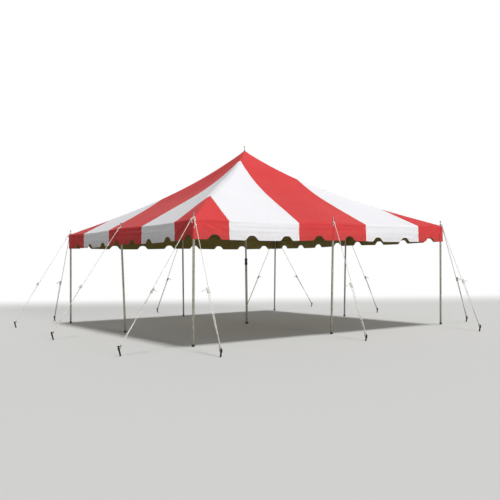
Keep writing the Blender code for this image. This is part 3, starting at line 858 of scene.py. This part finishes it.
def sew_patches():
    """Doubled cloth, welded on round each pin and at the peak, where the load comes in."""
    pin_down = HALF - BEND_START
    radii = (PIN_R + 0.001, *np.linspace(0.014, 0.118, 15), 0.120)
    for k, side in enumerate(SIDES):
        whole = np.linspace(0, -2 * pi, 97)
        grids = [patch_grid(k, 0.0, pin_down, radii, whole, 0.0009)]
        finish_band("patch_" + side, grids, (RED_VINYL, PAINTED_SHADE_BACKING), 0.0008)
    radius, turn = np.meshgrid(np.asarray(radii), np.linspace(0, 1, 57), indexing="ij")
    over = EDGE - HALF
    # A half runs from the hip round to the hip's end, or to the corner's upright edge below that
    last = np.where(radius < over * sqrt(2), 3 * pi / 4, np.arccos(-over / np.maximum(radius, over)))
    angle = -pi / 4 + turn * (last + pi / 4)
    low = pin_down + radius * np.sin(angle)
    along = np.minimum(HALF - radius * np.cos(angle), far_at(low))
    for k, corner in enumerate(CORNER_ORDER):
        grids = [(surface(side_k, sign * along, low, 0.0009),
                  np.stack([sign * along + 8.0 * side_k, low], axis=-1))
                 for side_k, sign in ((k, -1), ((k - 1) % 4, 1))]
        finish_band("patch_" + corner, grids, (RED_VINYL, PAINTED_SHADE_BACKING), 0.0008)
    rows = np.array([PEAK_HOLE + 0.002, 0.05, 0.09, 0.13, 0.17, 0.20, 0.215, 0.217])
    grids = []
    for k in range(4):
        shares = np.linspace(-1, 1, 17)
        along = rows[:, None] * shares[None, :]
        down = np.broadcast_to(rows[:, None] - BEND_START, along.shape)
        grids.append((surface(k, along, down, 0.0009), np.stack([along + 8.0 * k, down], axis=-1)))
    finish_band("patch_peak", grids, (RED_VINYL, PAINTED_SHADE_BACKING), 0.0008)


def sew_webbing():
    """Load straps under the cloth: from the peak to each pin, and round inside the eave."""
    below = -CLOTH - 0.0004
    half = WEBBING / 2
    rows = [row for row in ROOF_ROWS if 0.10 < row < HALF - 0.02]
    rows = rows[::2] + rows[-1:]
    for k, side in enumerate(SIDES):
        middle = [(0.0, row - BEND_START) for row in rows]
        widths = (-half, -half / 2, 0.0, half / 2, half)
        finish_band("strap_" + side, [band_grid(k, middle, widths, below)], (STRAP,),
                    STRAP_THICK)
        level = [(along, -0.045) for along in np.linspace(-EDGE + 0.10, EDGE - 0.10, 121)]
        finish_band("strap_eave_" + side, [band_grid(k, level[::-1], widths, below - 0.0022)],
                    (STRAP,), STRAP_THICK)
    for k, corner in enumerate(CORNER_ORDER):
        far = np.array(rows)[:, None]
        share = np.array((1.0, 0.85, 0.5, 0.15, 0.0))[None, :]
        # Half a strap lies on each side of the hip, measured square to it
        step = half * sqrt(2) * share
        grids = []
        for side_k, sign in ((k, -1), ((k - 1) % 4, 1)):
            along = sign * (far - step)
            down = np.broadcast_to(far - BEND_START, along.shape)
            run = np.broadcast_to(far * 1.5, along.shape)
            own = np.stack([sign * np.broadcast_to(step, along.shape), run], axis=-1)
            grids.append((surface(side_k, along, down, below), own))
        finish_band("strap_hip_" + corner, grids, (STRAP,), STRAP_THICK)


# Rigid pieces


def turn_up(name, finish, profile, sides=40):
    """A turned piece, drawn up from a disc. profile lists (radius, height) from its foot to its top."""
    radius, level = profile[0]
    bpy.ops.object.select_all(action="DESELECT")
    bpy.ops.mesh.primitive_circle_add(vertices=sides, radius=radius, fill_type="NGON",
                                      location=(0, 0, level))
    piece = bpy.context.object
    piece.name = name
    bpy.ops.object.transform_apply(location=True)
    bpy.ops.object.mode_set(mode="EDIT")
    bpy.ops.mesh.select_mode(type="FACE")
    bpy.ops.mesh.select_all(action="SELECT")
    for new_radius, new_level in profile[1:]:
        share = new_radius / radius
        bpy.ops.mesh.extrude_region_move(TRANSFORM_OT_translate={"value": (0, 0, new_level - level)})
        bpy.ops.transform.resize(value=(share, share, 1), center_override=(0, 0, 0))
        radius, level = new_radius, new_level
    bpy.ops.mesh.select_all(action="SELECT")
    bpy.ops.mesh.normals_make_consistent(inside=False)
    bpy.ops.object.mode_set(mode="OBJECT")
    bpy.ops.object.shade_smooth_by_angle(angle=SMOOTH_ANGLE)
    piece.data.materials.append(finish)
    return piece


def copy_to(source, name, matrix):
    """A copy with its own mesh, with its place in the mesh."""
    made = source.copy()
    made.data = source.data.copy()
    made.name = name
    made.data.name = name
    made.data.transform(matrix)
    bpy.context.scene.collection.objects.link(made)
    return made


def set_on_tent(piece, slot, *nodes):
    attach(piece, "root")
    if nodes:
        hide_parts(*nodes)


def lean(piece, label):
    """Shears a piece as its pole leans: not at all at the shoulder, by the whole lean at the ground."""
    for vert in piece.data.vertices:
        share = 1 - min(vert.co.z, SIDE_TOP) / SIDE_TOP
        vert.co += Vector((LEANS[label][0], LEANS[label][1], 0.0)) * share


def foot_profile(outer, tube):
    """A moulded cup with two grooves, into which the tube is pushed."""
    groove = outer - 0.0013
    return ((outer - 0.0035, 0.0), (outer - 0.0010, 0.0012), (outer, 0.0040), (outer, 0.0110),
            (groove, 0.0125), (groove, 0.0155), (outer, 0.0170), (outer, 0.0240), (groove, 0.0255),
            (groove, 0.0285), (outer, 0.0300), (outer, 0.0370), (outer - 0.0006, 0.0390),
            (outer - 0.0018, 0.0400), (tube + 0.0016, 0.0398), (tube + 0.0005, 0.0388),
            (tube + 0.0002, 0.0080))


def tube_profile(radius, foot, top):
    """A tube with a plug welded into its top: a ring of weld, then a rounded shoulder."""
    return ((radius - 0.0010, foot), (radius, foot + 0.0015), (radius, top - 0.0160),
            (radius + 0.0003, top - 0.0152), (radius + 0.0003, top - 0.0132), (radius - 0.0004, top - 0.0124),
            (radius - 0.0002, top - 0.0110), (radius - 0.0002, top - 0.0040), (radius - 0.0012, top - 0.0016),
            (radius - 0.0034, top - 0.0004), (radius - 0.0060, top))


def pin_profile(top, tip):
    """A round pin with a fillet of weld at its foot and a knob at its tip."""
    return ((0.0120, top - 0.0010), (0.0120, top + 0.0006), (0.0100, top + 0.0020),
            (0.0080, top + 0.0034), (PIN_R, top + 0.0054), (PIN_R, tip - KNOB_HEIGHT),
            (PIN_R + 0.0008, tip - KNOB_HEIGHT + 0.0008), (KNOB_R - 0.0012, tip - KNOB_HEIGHT + 0.0030),
            (KNOB_R, tip - KNOB_HEIGHT + 0.0070), (KNOB_R, tip - 0.0120), (KNOB_R - 0.0010, tip - 0.0060),
            (KNOB_R - 0.0035, tip - 0.0018), (KNOB_R - 0.0075, tip))


def make_side_poles():
    foot = turn_up("foot_pattern", RUBBER, foot_profile(FOOT_R, SIDE_POLE_R))
    tube = turn_up("tube_pattern", TUBE, tube_profile(SIDE_POLE_R, 0.0085, SIDE_TOP))
    pin = turn_up("pin_pattern", BRIGHT_STEEL, pin_profile(SIDE_TOP, EAVE + PIN_ABOVE), 28)
    for label, (x, y) in PIN_PLACES.items():
        place = Matrix.Translation((x, y, 0))
        pieces = (copy_to(foot, "foot_cap_" + label, Matrix()), copy_to(tube, "tube_" + label, Matrix()),
                  copy_to(pin, "pin_" + label, Matrix()))
        for piece in pieces:
            lean(piece, label)
            piece.data.transform(place)
        set_on_tent(pieces[0], "galvanised_tube")
        set_on_tent(pieces[1], "galvanised_tube", "pole_" + label)
        set_on_tent(pieces[2], "galvanised_tube")
    for pattern in (foot, tube, pin):
        bpy.data.objects.remove(pattern, do_unlink=True)


def sleeve_profile():
    """A painted sleeve with a rolled rim at each end."""
    body = SLEEVE_R - 0.0010
    return ((LOWER_POLE_R + 0.0005, SLEEVE_LOW), (body, SLEEVE_LOW + 0.0002),
            (SLEEVE_R, SLEEVE_LOW + 0.0014), (SLEEVE_R, SLEEVE_LOW + 0.0046), (body, SLEEVE_LOW + 0.0060),
            (body, SLEEVE_HIGH - 0.0060), (SLEEVE_R, SLEEVE_HIGH - 0.0046),
            (SLEEVE_R, SLEEVE_HIGH - 0.0014), (body, SLEEVE_HIGH - 0.0002),
            (UPPER_POLE_R + 0.0040, SLEEVE_HIGH), (UPPER_POLE_R + 0.0006, SLEEVE_HIGH - 0.0010))


def make_bolt(name, level):
    """A hexagon bolt through the sleeve: chamfered head on one side, nut and thread end on the other."""
    across = SLEEVE_R + 0.0075
    bpy.ops.object.select_all(action="DESELECT")
    bpy.ops.mesh.primitive_cylinder_add(vertices=6, radius=0.0092, depth=2 * across,
                                        location=(0, 0, level), rotation=(0, pi / 2, 0))
    bolt = bpy.context.object
    bolt.name = name
    bpy.ops.object.transform_apply(location=True, rotation=True)
    bpy.ops.object.mode_set(mode="EDIT")
    bpy.ops.mesh.select_mode(type="FACE")
    for way in (-1, 1):
        bpy.ops.mesh.select_all(action="DESELECT")
        bm = bmesh.from_edit_mesh(bolt.data)
        for face in bm.faces:
            face.select_set(face.normal.x * way > 0.9)
        bmesh.update_edit_mesh(bolt.data)
        bpy.ops.mesh.inset(thickness=0.0012)
        bpy.ops.transform.translate(value=(way * 0.0009, 0, 0))
        if way > 0:
            bpy.ops.mesh.inset(thickness=0.0030)
            bpy.ops.mesh.extrude_region_move(TRANSFORM_OT_translate={"value": (0.0035, 0, 0)})
    bpy.ops.object.mode_set(mode="OBJECT")
    edge = bolt.modifiers.new("Worn edges", "BEVEL")
    edge.width = 0.0004
    edge.segments = 2
    bpy.ops.object.modifier_apply(modifier=edge.name)
    bpy.ops.object.shade_smooth_by_angle(angle=SMOOTH_ANGLE)
    bolt.data.materials.append(BRIGHT_STEEL)
    set_on_tent(bolt, "galvanised_tube")


def make_centre_pole():
    tip = PEAK + PIN_ABOVE
    set_on_tent(turn_up("foot_cap_centre", RUBBER, foot_profile(CENTRE_FOOT_R, LOWER_POLE_R + 0.0040)),
                "galvanised_tube")
    set_on_tent(turn_up("tube_centre_lower", TUBE, tube_profile(LOWER_POLE_R, 0.0085, 1.420)),
                "galvanised_tube", "centre_pole_lower")
    set_on_tent(turn_up("sleeve_centre", SLEEVE, sleeve_profile()), "galvanised_tube")
    set_on_tent(turn_up("tube_centre_upper", TUBE, tube_profile(UPPER_POLE_R, 1.430, CENTRE_TOP)),
                "galvanised_tube", "centre_pole_upper")
    set_on_tent(turn_up("pin_centre", BRIGHT_STEEL, pin_profile(CENTRE_TOP, tip), 28), "galvanised_tube")
    cone = ((0.0250, PEAK - 0.0215), (0.0262, PEAK - 0.0200), (0.0262, PEAK - 0.0180),
            (0.0180, PEAK - 0.0105), (0.0110, PEAK - 0.0040), (0.0098, PEAK - 0.0005),
            (0.0098, PEAK + 0.0080), (0.0088, PEAK + 0.0100), (PIN_R + 0.0003, PEAK + 0.0102))
    set_on_tent(turn_up("rain_collar", RUBBER, cone, 32), "galvanised_tube")
    make_bolt("sleeve_bolt_low", SLEEVE_LOW + 0.034)
    make_bolt("sleeve_bolt_high", SLEEVE_HIGH - 0.034)


def make_grommets():
    """A rolled eyelet round each side pin, pressed flat and tilted with the cloth."""
    bpy.ops.object.select_all(action="DESELECT")
    bpy.ops.mesh.primitive_torus_add(major_segments=40, minor_segments=12, major_radius=0.0145,
                                     minor_radius=0.0058)
    ring = bpy.context.object
    bpy.ops.object.mode_set(mode="EDIT")
    bpy.ops.mesh.select_all(action="SELECT")
    bpy.ops.transform.resize(value=(1, 1, 0.5), center_override=(0, 0, 0))
    bpy.ops.object.mode_set(mode="OBJECT")
    bpy.ops.object.shade_smooth()
    ring.data.materials.append(GROMMET)
    slope = tan(SLOPE)
    for label, (x, y) in PIN_PLACES.items():
        corner = x != 0 and y != 0
        outward = Vector((x, y, 0)).normalized()
        fall = slope / sqrt(2) if corner else slope
        tilt = (outward * fall + Vector((0, 0, 1))).normalized().to_track_quat("Z", "Y").to_matrix().to_4x4()
        thick = Matrix.Diagonal((1, 1, 2.0 if corner else 1.0, 1))
        level = EAVE - (0.0040 if corner else -0.0010)
        made = copy_to(ring, "eyelet_" + label, Matrix.Translation((x, y, level)) @ tilt @ thick)
        set_on_tent(made, "galvanised_tube")
    bpy.data.objects.remove(ring, do_unlink=True)


# Guy ropes


def unit(vector):
    return vector / np.linalg.norm(vector)


def stake_axis(pin, stake):
    """Outward direction on the ground, and the leaning axis of the stake."""
    out = unit(np.array((stake[0] - pin[0], stake[1] - pin[1], 0.0)))
    return out, out * sin(STAKE_LEAN) + np.array((0, 0, cos(STAKE_LEAN)))


def hem_bend(pin, out, knot, foot):
    """Point where a steep rope bends over the hem of the roof, or None where it clears the hem."""
    reach = EDGE + HEM_CLEAR
    legs = [(reach - HALF) / abs(part) for at, part in zip(pin, out) if at and at * part > 0.0001]
    run = min(legs)
    level = slack_height(EDGE) + HEM_CLEAR
    share = run / hypot(foot[0] - knot[0], foot[1] - knot[1])
    if knot[2] + (foot[2] - knot[2]) * share > level:
        return None
    return np.array((knot[0] + out[0] * run, knot[1] + out[1] * run, level))


def eased(points, step):
    """Evenly spaced points on a smooth curve through the given ones."""
    given = np.array(points)
    apart = np.linalg.norm(np.diff(given, axis=0), axis=1)
    given = given[np.concatenate([[True], apart > 0.0004])]
    longer = np.vstack([2 * given[0] - given[1], given, 2 * given[-1] - given[-2]])
    curve = []
    for before, here, there, after in zip(longer, longer[1:], longer[2:], longer[3:]):
        t = [sqrt(np.linalg.norm(b - a)) for a, b in ((before, here), (here, there), (there, after))]
        leave = t[1] * ((here - before) / t[0] - (there - before) / (t[0] + t[1]) + (there - here) / t[1])
        reach = t[1] * ((there - here) / t[1] - (after - here) / (t[1] + t[2]) + (after - there) / t[2])
        count = max(2, int(np.linalg.norm(there - here) / step * 2))
        s = np.linspace(0, 1, count, endpoint=False)[:, None]
        curve.append((2 * s ** 3 - 3 * s ** 2 + 1) * here + (s ** 3 - 2 * s ** 2 + s) * leave
                     + (3 * s ** 2 - 2 * s ** 3) * there + (s ** 3 - s ** 2) * reach)
    curve = np.vstack(curve + [given[-1:]])
    run = np.concatenate([[0], np.cumsum(np.linalg.norm(np.diff(curve, axis=0), axis=1))])
    spots = np.linspace(0, run[-1], max(3, round(run[-1] / step)))
    return np.stack([np.interp(spots, run, curve[:, axis]) for axis in range(3)], axis=-1)


def winding(centre, side, up, wide, first, turns, start, end):
    """Points of a helix round an axis: from start to end along up, beginning at angle first."""
    third = np.cross(up, side)
    count = max(2, round(abs(turns) * 8))
    points = []
    for n in range(count + 1):
        share = n / count
        angle = first + 2 * pi * turns * share
        points.append(centre + up * (start + (end - start) * share)
                      + (side * cos(angle) + third * sin(angle)) * wide)
    return points


def top_knot(pin, out, side, level, towards, eye, second):
    """The pin end of a rope: its end, one or two hitches round the standing part, and the eye on the pin."""
    top = np.array((pin[0], pin[1], EAVE + level))
    heading = unit(towards - top)
    lay = 2.06 * ROPE_R
    drop = np.array((0, 0, -1.0))

    def on_line(run, aside):
        return top + heading * run + side * aside

    leaves = second + HITCH_PITCH if second else eye + 2 * HITCH_PITCH
    points = [on_line(leaves, -0.030) + drop * 0.058 - heading * 0.004, on_line(leaves, -0.028) + drop * 0.034,
              on_line(leaves, -0.022) + drop * 0.012]
    if second:
        points += winding(top, side, heading, lay, pi, -1, second + HITCH_PITCH, second)
        points += [on_line(second - 0.02, -lay), on_line(eye + 2 * HITCH_PITCH + 0.02, -lay)]
    points += winding(top, side, heading, lay, pi, -2, eye + 2 * HITCH_PITCH, eye)
    points += [on_line(eye * 0.72, -1.10 * lay), on_line(eye * 0.3, -1.14 * ROPE_ROUND_PIN)]
    for n in range(9):
        angle = pi * n / 8
        points.append(top - (side * cos(angle) + out * sin(angle)) * ROPE_ROUND_PIN)
    points += [on_line(eye * 0.3, 1.10 * ROPE_ROUND_PIN), on_line(eye * 0.72, 0.5 * ROPE_ROUND_PIN),
               on_line(eye, 0.0), on_line(eye + 2 * HITCH_PITCH, 0.0)]
    if second:
        points += [on_line(second, 0.0), on_line(second + HITCH_PITCH, 0.0)]
    return points


def guy_path(pin, stake, hand, level, eye, second):
    """Points of one guy rope, from its end at the pin to its end at the runner, and the places of the
    runner and the link."""
    x, y, height = stake
    out, axis = stake_axis(pin, stake)
    side = np.array((-out[1], out[0], 0.0)) * hand
    middle = np.array((x, y, 0.0)) + axis * (LOOP_LEVEL * height / cos(STAKE_LEAN))
    top = np.array((pin[0], pin[1], EAVE + level))
    bend = hem_bend(pin, out, top, middle)
    knee = top if bend is None else bend
    up = unit(knee - middle)
    across = np.cross(side, up)
    rope = np.linalg.norm(knee - middle)
    # The link lies back against the stake, and the rope goes through its other end
    back = (STAKE_R + LINK_WIRE + 0.0003) / sqrt(1 - up.dot(axis) ** 2)
    end = middle + up * (LINK_LENGTH - back)
    foot = end + across * ROPE_ROUND_LINK
    line = unit(knee - foot)
    points = top_knot(pin, out, side, level, foot, eye, second)
    if bend is not None:
        # The eye lies over the hem, and all below it turns down with the rope
        old = unit(foot - top)
        reach = np.linalg.norm(bend - top)
        points = [bent_over(spot, top, old, unit(bend - top), bend, -line, reach) for spot in points]
    points.append(foot + line * 0.03)
    for n in range(13):
        angle = pi * n / 12
        points.append(end + (across * cos(angle) - up * sin(angle)) * ROPE_ROUND_LINK)
    hole = foot + line * (rope * RUNNER_SHARE - (LINK_LENGTH - back))
    aside = unit(side - line * side.dot(line))
    second_hole = hole - aside * RUNNER_SPAN
    points += [second_hole - line * 0.05, second_hole, second_hole + line * 0.02]
    base = second_hole + line * 0.014
    points += [base + line * 0.046, base + line * 0.055 - aside * 0.0057]
    points += winding(base, aside, line, 2.06 * ROPE_R, pi, -2, 0.045, 0.045 - 2 * HITCH_PITCH)
    drop = np.array((0, 0, -1.0))
    points += [base - aside * 0.034 + line * 0.016, base - aside * 0.064 + line * 0.016 + drop * 0.008,
               base - aside * 0.092 + line * 0.014 + drop * 0.030]
    link = placed(middle - up * (back - LINK_HALF), up, side)
    return points, placed((hole + second_hole) / 2, aside, np.cross(line, aside)), link


def placed(spot, along_x, along_y):
    """Matrix that takes the axes at the origin to two given ones, with the third square to both."""
    axes = Matrix((along_x, along_y, np.cross(along_x, along_y))).transposed().to_4x4()
    return Matrix.Translation(spot) @ axes


def bent_over(spot, top, old, first, bend, second, reach):
    """Moves a point from a straight line through the pin to the line that bends over the hem."""
    run = (spot - top).dot(old)
    off = spot - top - old * run
    if run <= 0:
        return spot
    if run < reach:
        return top + first * run + off
    return bend + second * (run - reach) + off


def rope_mesh(name, points, finish):
    """A three strand rope swept along points: its section has a lobe for each strand and turns with the lay."""
    path = eased(points, ROPE_STEP)
    tangents = np.gradient(path, axis=0)
    tangents /= np.linalg.norm(tangents, axis=1)[:, None]
    radii = ROPE_R * np.tile((0.68, 0.97, 0.97, 0.68), 3)
    around = 2 * pi * (np.arange(12) + 0.5) / 12
    normal = unit(np.cross(tangents[0], (0.3, 0.2, 1.0)))
    verts = []
    for n, (spot, ahead) in enumerate(zip(path, tangents)):
        normal = unit(normal - ahead * normal.dot(ahead))
        other = np.cross(ahead, normal)
        turn = around + 2 * pi * n * ROPE_STEP / ROPE_LAY
        small = 0.72 if n in (0, len(path) - 1) else 1.0
        ring = np.outer(np.cos(turn) * radii * small, normal) + np.outer(np.sin(turn) * radii * small, other)
        verts.append(spot + ring)
    rows = len(verts)
    faces = []
    maps = []
    for n in range(rows - 1):
        low, high = n * ROPE_STEP, (n + 1) * ROPE_STEP
        for j in range(12):
            a, b = n * 12 + j, n * 12 + (j + 1) % 12
            faces.append((a, b, b + 12, a + 12))
            maps += [(j / 12, low), ((j + 1) / 12, low), ((j + 1) / 12, high), (j / 12, high)]
    faces.append(tuple(reversed(range(12))))
    faces.append(tuple(range((rows - 1) * 12, rows * 12)))
    maps += [(0.5, 0.0)] * 12 + [(0.5, rows * ROPE_STEP)] * 12
    mesh = bpy.data.meshes.new(name)
    mesh.from_pydata(np.vstack(verts).tolist(), [], faces)
    layer = mesh.uv_layers.new(name="UVMap")
    layer.data.foreach_set("uv", np.array(maps).ravel())
    mesh.shade_smooth()
    mesh.materials.append(finish)
    piece = bpy.data.objects.new(name, mesh)
    bpy.context.scene.collection.objects.link(piece)
    return piece


def make_runner():
    """Runner: a block with rounded ends and two holes along Z, modelled once at the origin."""
    bpy.ops.object.select_all(action="DESELECT")
    bpy.ops.mesh.primitive_cube_add(size=1)
    bar = bpy.context.object
    bar.name = "runner_pattern"
    bpy.ops.object.mode_set(mode="EDIT")
    bpy.ops.mesh.select_all(action="SELECT")
    bpy.ops.transform.resize(value=(RUNNER_SPAN + 0.024, 0.026, RUNNER_TALL), center_override=(0, 0, 0))
    bpy.ops.mesh.select_mode(type="EDGE")
    bpy.ops.mesh.select_all(action="DESELECT")
    bm = bmesh.from_edit_mesh(bar.data)
    for edge in bm.edges:
        edge.select_set(abs(edge.verts[0].co.z - edge.verts[1].co.z) > 0.005)
    bmesh.update_edit_mesh(bar.data)
    bpy.ops.mesh.bevel(offset=0.0120, segments=7)
    bpy.ops.object.mode_set(mode="OBJECT")
    for way in (-1, 1):
        bpy.ops.object.select_all(action="DESELECT")
        bpy.ops.mesh.primitive_cylinder_add(vertices=28, radius=0.0074, depth=2 * RUNNER_TALL,
                                            location=(way * RUNNER_SPAN / 2, 0, 0))
        drill = bpy.context.object
        select_only(bar)
        hole = bar.modifiers.new("Hole", "BOOLEAN")
        hole.object = drill
        bpy.ops.object.modifier_apply(modifier=hole.name)
        bpy.data.objects.remove(drill, do_unlink=True)
    worn = bar.modifiers.new("Worn edges", "BEVEL")
    worn.width = 0.0018
    worn.segments = 3
    worn.angle_limit = radians(50)
    bpy.ops.object.modifier_apply(modifier=worn.name)
    bpy.ops.object.shade_smooth_by_angle(angle=SMOOTH_ANGLE)
    bar.data.materials.append(RUNNER)
    return bar


def make_link():
    """A long forged link, modelled once at the origin: round at its back, drawn out along X."""
    bpy.ops.object.select_all(action="DESELECT")
    bpy.ops.curve.primitive_bezier_circle_add(radius=LINK_HALF)
    link = bpy.context.object
    link.name = "link_pattern"
    front_x = LINK_LENGTH - LINK_HALF
    for point in link.data.splines[0].bezier_points:
        point.handle_left_type = "FREE"
        point.handle_right_type = "FREE"
        at = point.co.copy()
        for handle in (point.handle_left, point.handle_right):
            if at.x > LINK_HALF / 2:
                handle.x = front_x
                handle.y = 0.0170 * (1 if handle.y > 0 else -1)
            elif abs(at.x) < LINK_HALF / 2 and handle.x > 0:
                handle.x = 0.035
        if at.x > LINK_HALF / 2:
            point.co.x = front_x
    link.data.resolution_u = 12
    link.data.bevel_depth = LINK_WIRE
    link.data.bevel_resolution = 4
    bpy.ops.object.convert(target="MESH")
    bpy.ops.object.shade_smooth()
    link.data.materials.clear()
    link.data.materials.append(STAKE)
    return link


def make_stake(name, pin, stake):
    """A driven steel rod, its head spread by the hammer, cut level with the ground."""
    x, y, height = stake
    out, axis = stake_axis(pin, stake)
    length = height / cos(STAKE_LEAN)
    head = length - STAKE_HEAD
    rod = turn_up(name, STAKE, (
        (STAKE_R, -0.030), (STAKE_R, head * 0.45), (STAKE_R - 0.0003, head * 0.7), (STAKE_R, head - 0.012),
        (STAKE_R + 0.0006, head - 0.003), (STAKE_HEAD_R - 0.0012, head + 0.0012),
        (STAKE_HEAD_R, head + 0.0034), (STAKE_HEAD_R, length - 0.0046), (STAKE_HEAD_R - 0.0012, length - 0.0018),
        (STAKE_HEAD_R - 0.0040, length - 0.0004), (STAKE_HEAD_R - 0.0090, length)), 32)
    bpy.ops.object.mode_set(mode="EDIT")
    bpy.ops.mesh.select_mode(type="VERT")
    bpy.ops.mesh.select_all(action="DESELECT")
    bm = bmesh.from_edit_mesh(rod.data)
    for vert in bm.verts:
        vert.select_set(head < vert.co.z < length - 0.001)
    bmesh.update_edit_mesh(rod.data)
    bpy.ops.transform.vertex_random(offset=0.0007, seed=len(name))
    bpy.ops.object.mode_set(mode="OBJECT")
    turned = Vector(axis).to_track_quat("Z", "Y").to_matrix().to_4x4()
    rod.data.transform(Matrix.Translation((x, y, 0)) @ turned)
    select_only(rod)
    bpy.ops.object.mode_set(mode="EDIT")
    bpy.ops.mesh.select_all(action="SELECT")
    bpy.ops.mesh.bisect(plane_co=(0, 0, 0), plane_no=(0, 0, 1), use_fill=True, clear_inner=True)
    bpy.ops.object.mode_set(mode="OBJECT")
    set_on_tent(rod, "stake_steel", name.replace("peg", "stake"))


def make_guys():
    bar = make_runner()
    ring = make_link()
    jobs = []
    for corner, (x, y, stakes) in CORNERS.items():
        outs = [stake_axis((x, y), stake)[0] for stake in stakes]
        for own, other, label, level, eye, second in ((0, 1, "a", 0.017, 0.055, 0.0),
                                                      (1, 0, "b", 0.030, 0.085, 0.180)):
            left = np.array((-outs[own][1], outs[own][0], 0.0))
            hand = -1 if left.dot(outs[other]) > 0 else 1
            jobs.append((corner + "_" + label, corner, (x, y), stakes[own], hand, level, eye, second))
    for side, (x, y, stake) in MIDDLES.items():
        jobs.append((side, side, (x, y), stake, 1, 0.018, 0.050, 0.0))
    for label, node, pin, stake, hand, level, eye, second in jobs:
        points, runner_place, link_place = guy_path(pin, stake, hand, level, eye, second)
        # A rope in the tent's shadow gets the darker finish, which is painted shade
        finish = PAINTED_SHADE_ROPE if label in PAINTED_SHADE_ROPES else ROPE
        set_on_tent(rope_mesh("guy_" + label, points, finish), "rope", "guy_rope_" + node)
        set_on_tent(copy_to(bar, "runner_" + label, runner_place), "rope")
        set_on_tent(copy_to(ring, "link_" + label, link_place), "stake_steel")
        make_stake("peg_" + label, pin, stake)
    for pattern in (bar, ring):
        bpy.data.objects.remove(pattern, do_unlink=True)


sew_canopy()
weld_seams()
hem_valance()
sew_patches()
sew_webbing()
make_side_poles()
make_centre_pole()
make_grommets()
make_guys()


# Stage


def make_stage():
    """A pale floor that fades to white far behind the tent."""
    bpy.ops.object.select_all(action="DESELECT")
    bpy.ops.mesh.primitive_plane_add(size=400)
    floor = bpy.context.object
    floor.name = "floor"
    made, tree, shader = new_material("pale studio floor", FLOOR_COLOUR, 0.9)
    shader.inputs["Specular IOR Level"].default_value = 0.1
    place = add(tree, "TexCoord").outputs["Object"]
    behind = add(tree, "VectorMath", {"operation": "DOT_PRODUCT"}, links={0: place})
    behind.inputs[1].default_value = (sin(VIEW_YAW), cos(VIEW_YAW), 0.0)
    fade = add(tree, "MapRange", {"interpolation_type": "SMOOTHSTEP"},
               {"From Min": 6.0, "From Max": 13.0}, {"Value": behind.outputs["Value"]})
    glow = add(tree, "Emission", values={"Color": (1, 1, 1, 1), "Strength": 1.0})
    mixed = add(tree, "MixShader", links={0: fade.outputs["Result"], 1: shader.outputs[0],
                                          2: glow.outputs[0]})
    tree.links.new(mixed.outputs[0], tree.nodes["Material Output"].inputs["Surface"])
    floor.data.materials.append(made)


def make_light(name, azimuth, elevation, strength, angle):
    """A soft distant light. Azimuth is from the front towards the right."""
    lamp = bpy.data.lights.new(name, "SUN")
    lamp.energy = strength
    lamp.angle = radians(angle)
    made = bpy.data.objects.new(name, lamp)
    a, e = radians(azimuth), radians(elevation)
    towards = Vector((sin(a) * cos(e), -cos(a) * cos(e), sin(e)))
    made.rotation_euler = towards.to_track_quat("Z", "Y").to_euler()
    bpy.context.scene.collection.objects.link(made)


def make_camera():
    yaw, pitch, roll = VIEW_YAW, radians(1.15), radians(-0.79)
    forward = Vector((sin(yaw) * cos(pitch), cos(yaw) * cos(pitch), sin(pitch)))
    level = Vector((cos(yaw), -sin(yaw), 0))
    up = level.cross(forward)
    right = cos(roll) * level + sin(roll) * up
    top = -sin(roll) * level + cos(roll) * up
    lens = bpy.data.cameras.new("camera")
    lens.sensor_width = 36
    lens.lens = 678.7 / 500 * 36
    lens.clip_end = 400
    made = bpy.data.objects.new("camera", lens)
    made.matrix_world = Matrix.Translation((-8.567, -12.961, 1.369)) @ Matrix(
        (right, top, -forward)).transposed().to_4x4()
    bpy.context.scene.collection.objects.link(made)
    bpy.context.scene.camera = made


def make_world():
    """Soft studio light, brighter towards the horizon, with a white backdrop far behind the tent."""
    world = bpy.data.worlds.new("studio")
    world.use_nodes = True
    tree = world.node_tree
    way = add(tree, "TexCoord").outputs["Generated"]
    height = add(tree, "SeparateXYZ", links={"Vector": way}).outputs["Z"]
    room = add(tree, "MapRange", {"interpolation_type": "SMOOTHSTEP"},
               {"From Min": 0.0, "From Max": 0.8, "To Min": HORIZON_LIGHT, "To Max": ZENITH_LIGHT},
               {"Value": height})
    behind = add(tree, "VectorMath", {"operation": "DOT_PRODUCT"}, links={0: way})
    behind.inputs[1].default_value = (sin(VIEW_YAW), cos(VIEW_YAW), 0.0)
    backdrop = add(tree, "MapRange", {"interpolation_type": "SMOOTHSTEP"},
                   {"From Min": 0.76, "From Max": 0.875}, {"Value": behind.outputs["Value"]})
    level = add(tree, "Mix", {"data_type": "FLOAT"},
                links={"Factor": backdrop.outputs["Result"], "A": room.outputs["Result"]})
    level.inputs["B"].default_value = 1.0
    tree.links.new(level.outputs["Result"], tree.nodes["Background"].inputs["Strength"])
    tree.nodes["Background"].inputs["Color"].default_value = (1.0, 1.0, 1.0, 1.0)
    bpy.context.scene.world = world
    bpy.context.scene.view_settings.view_transform = "Standard"


make_stage()
make_light("overhead", 50, 81, 2.00, 12)
make_light("key", -1, 12, 1.92, 16)
make_camera()
make_world()
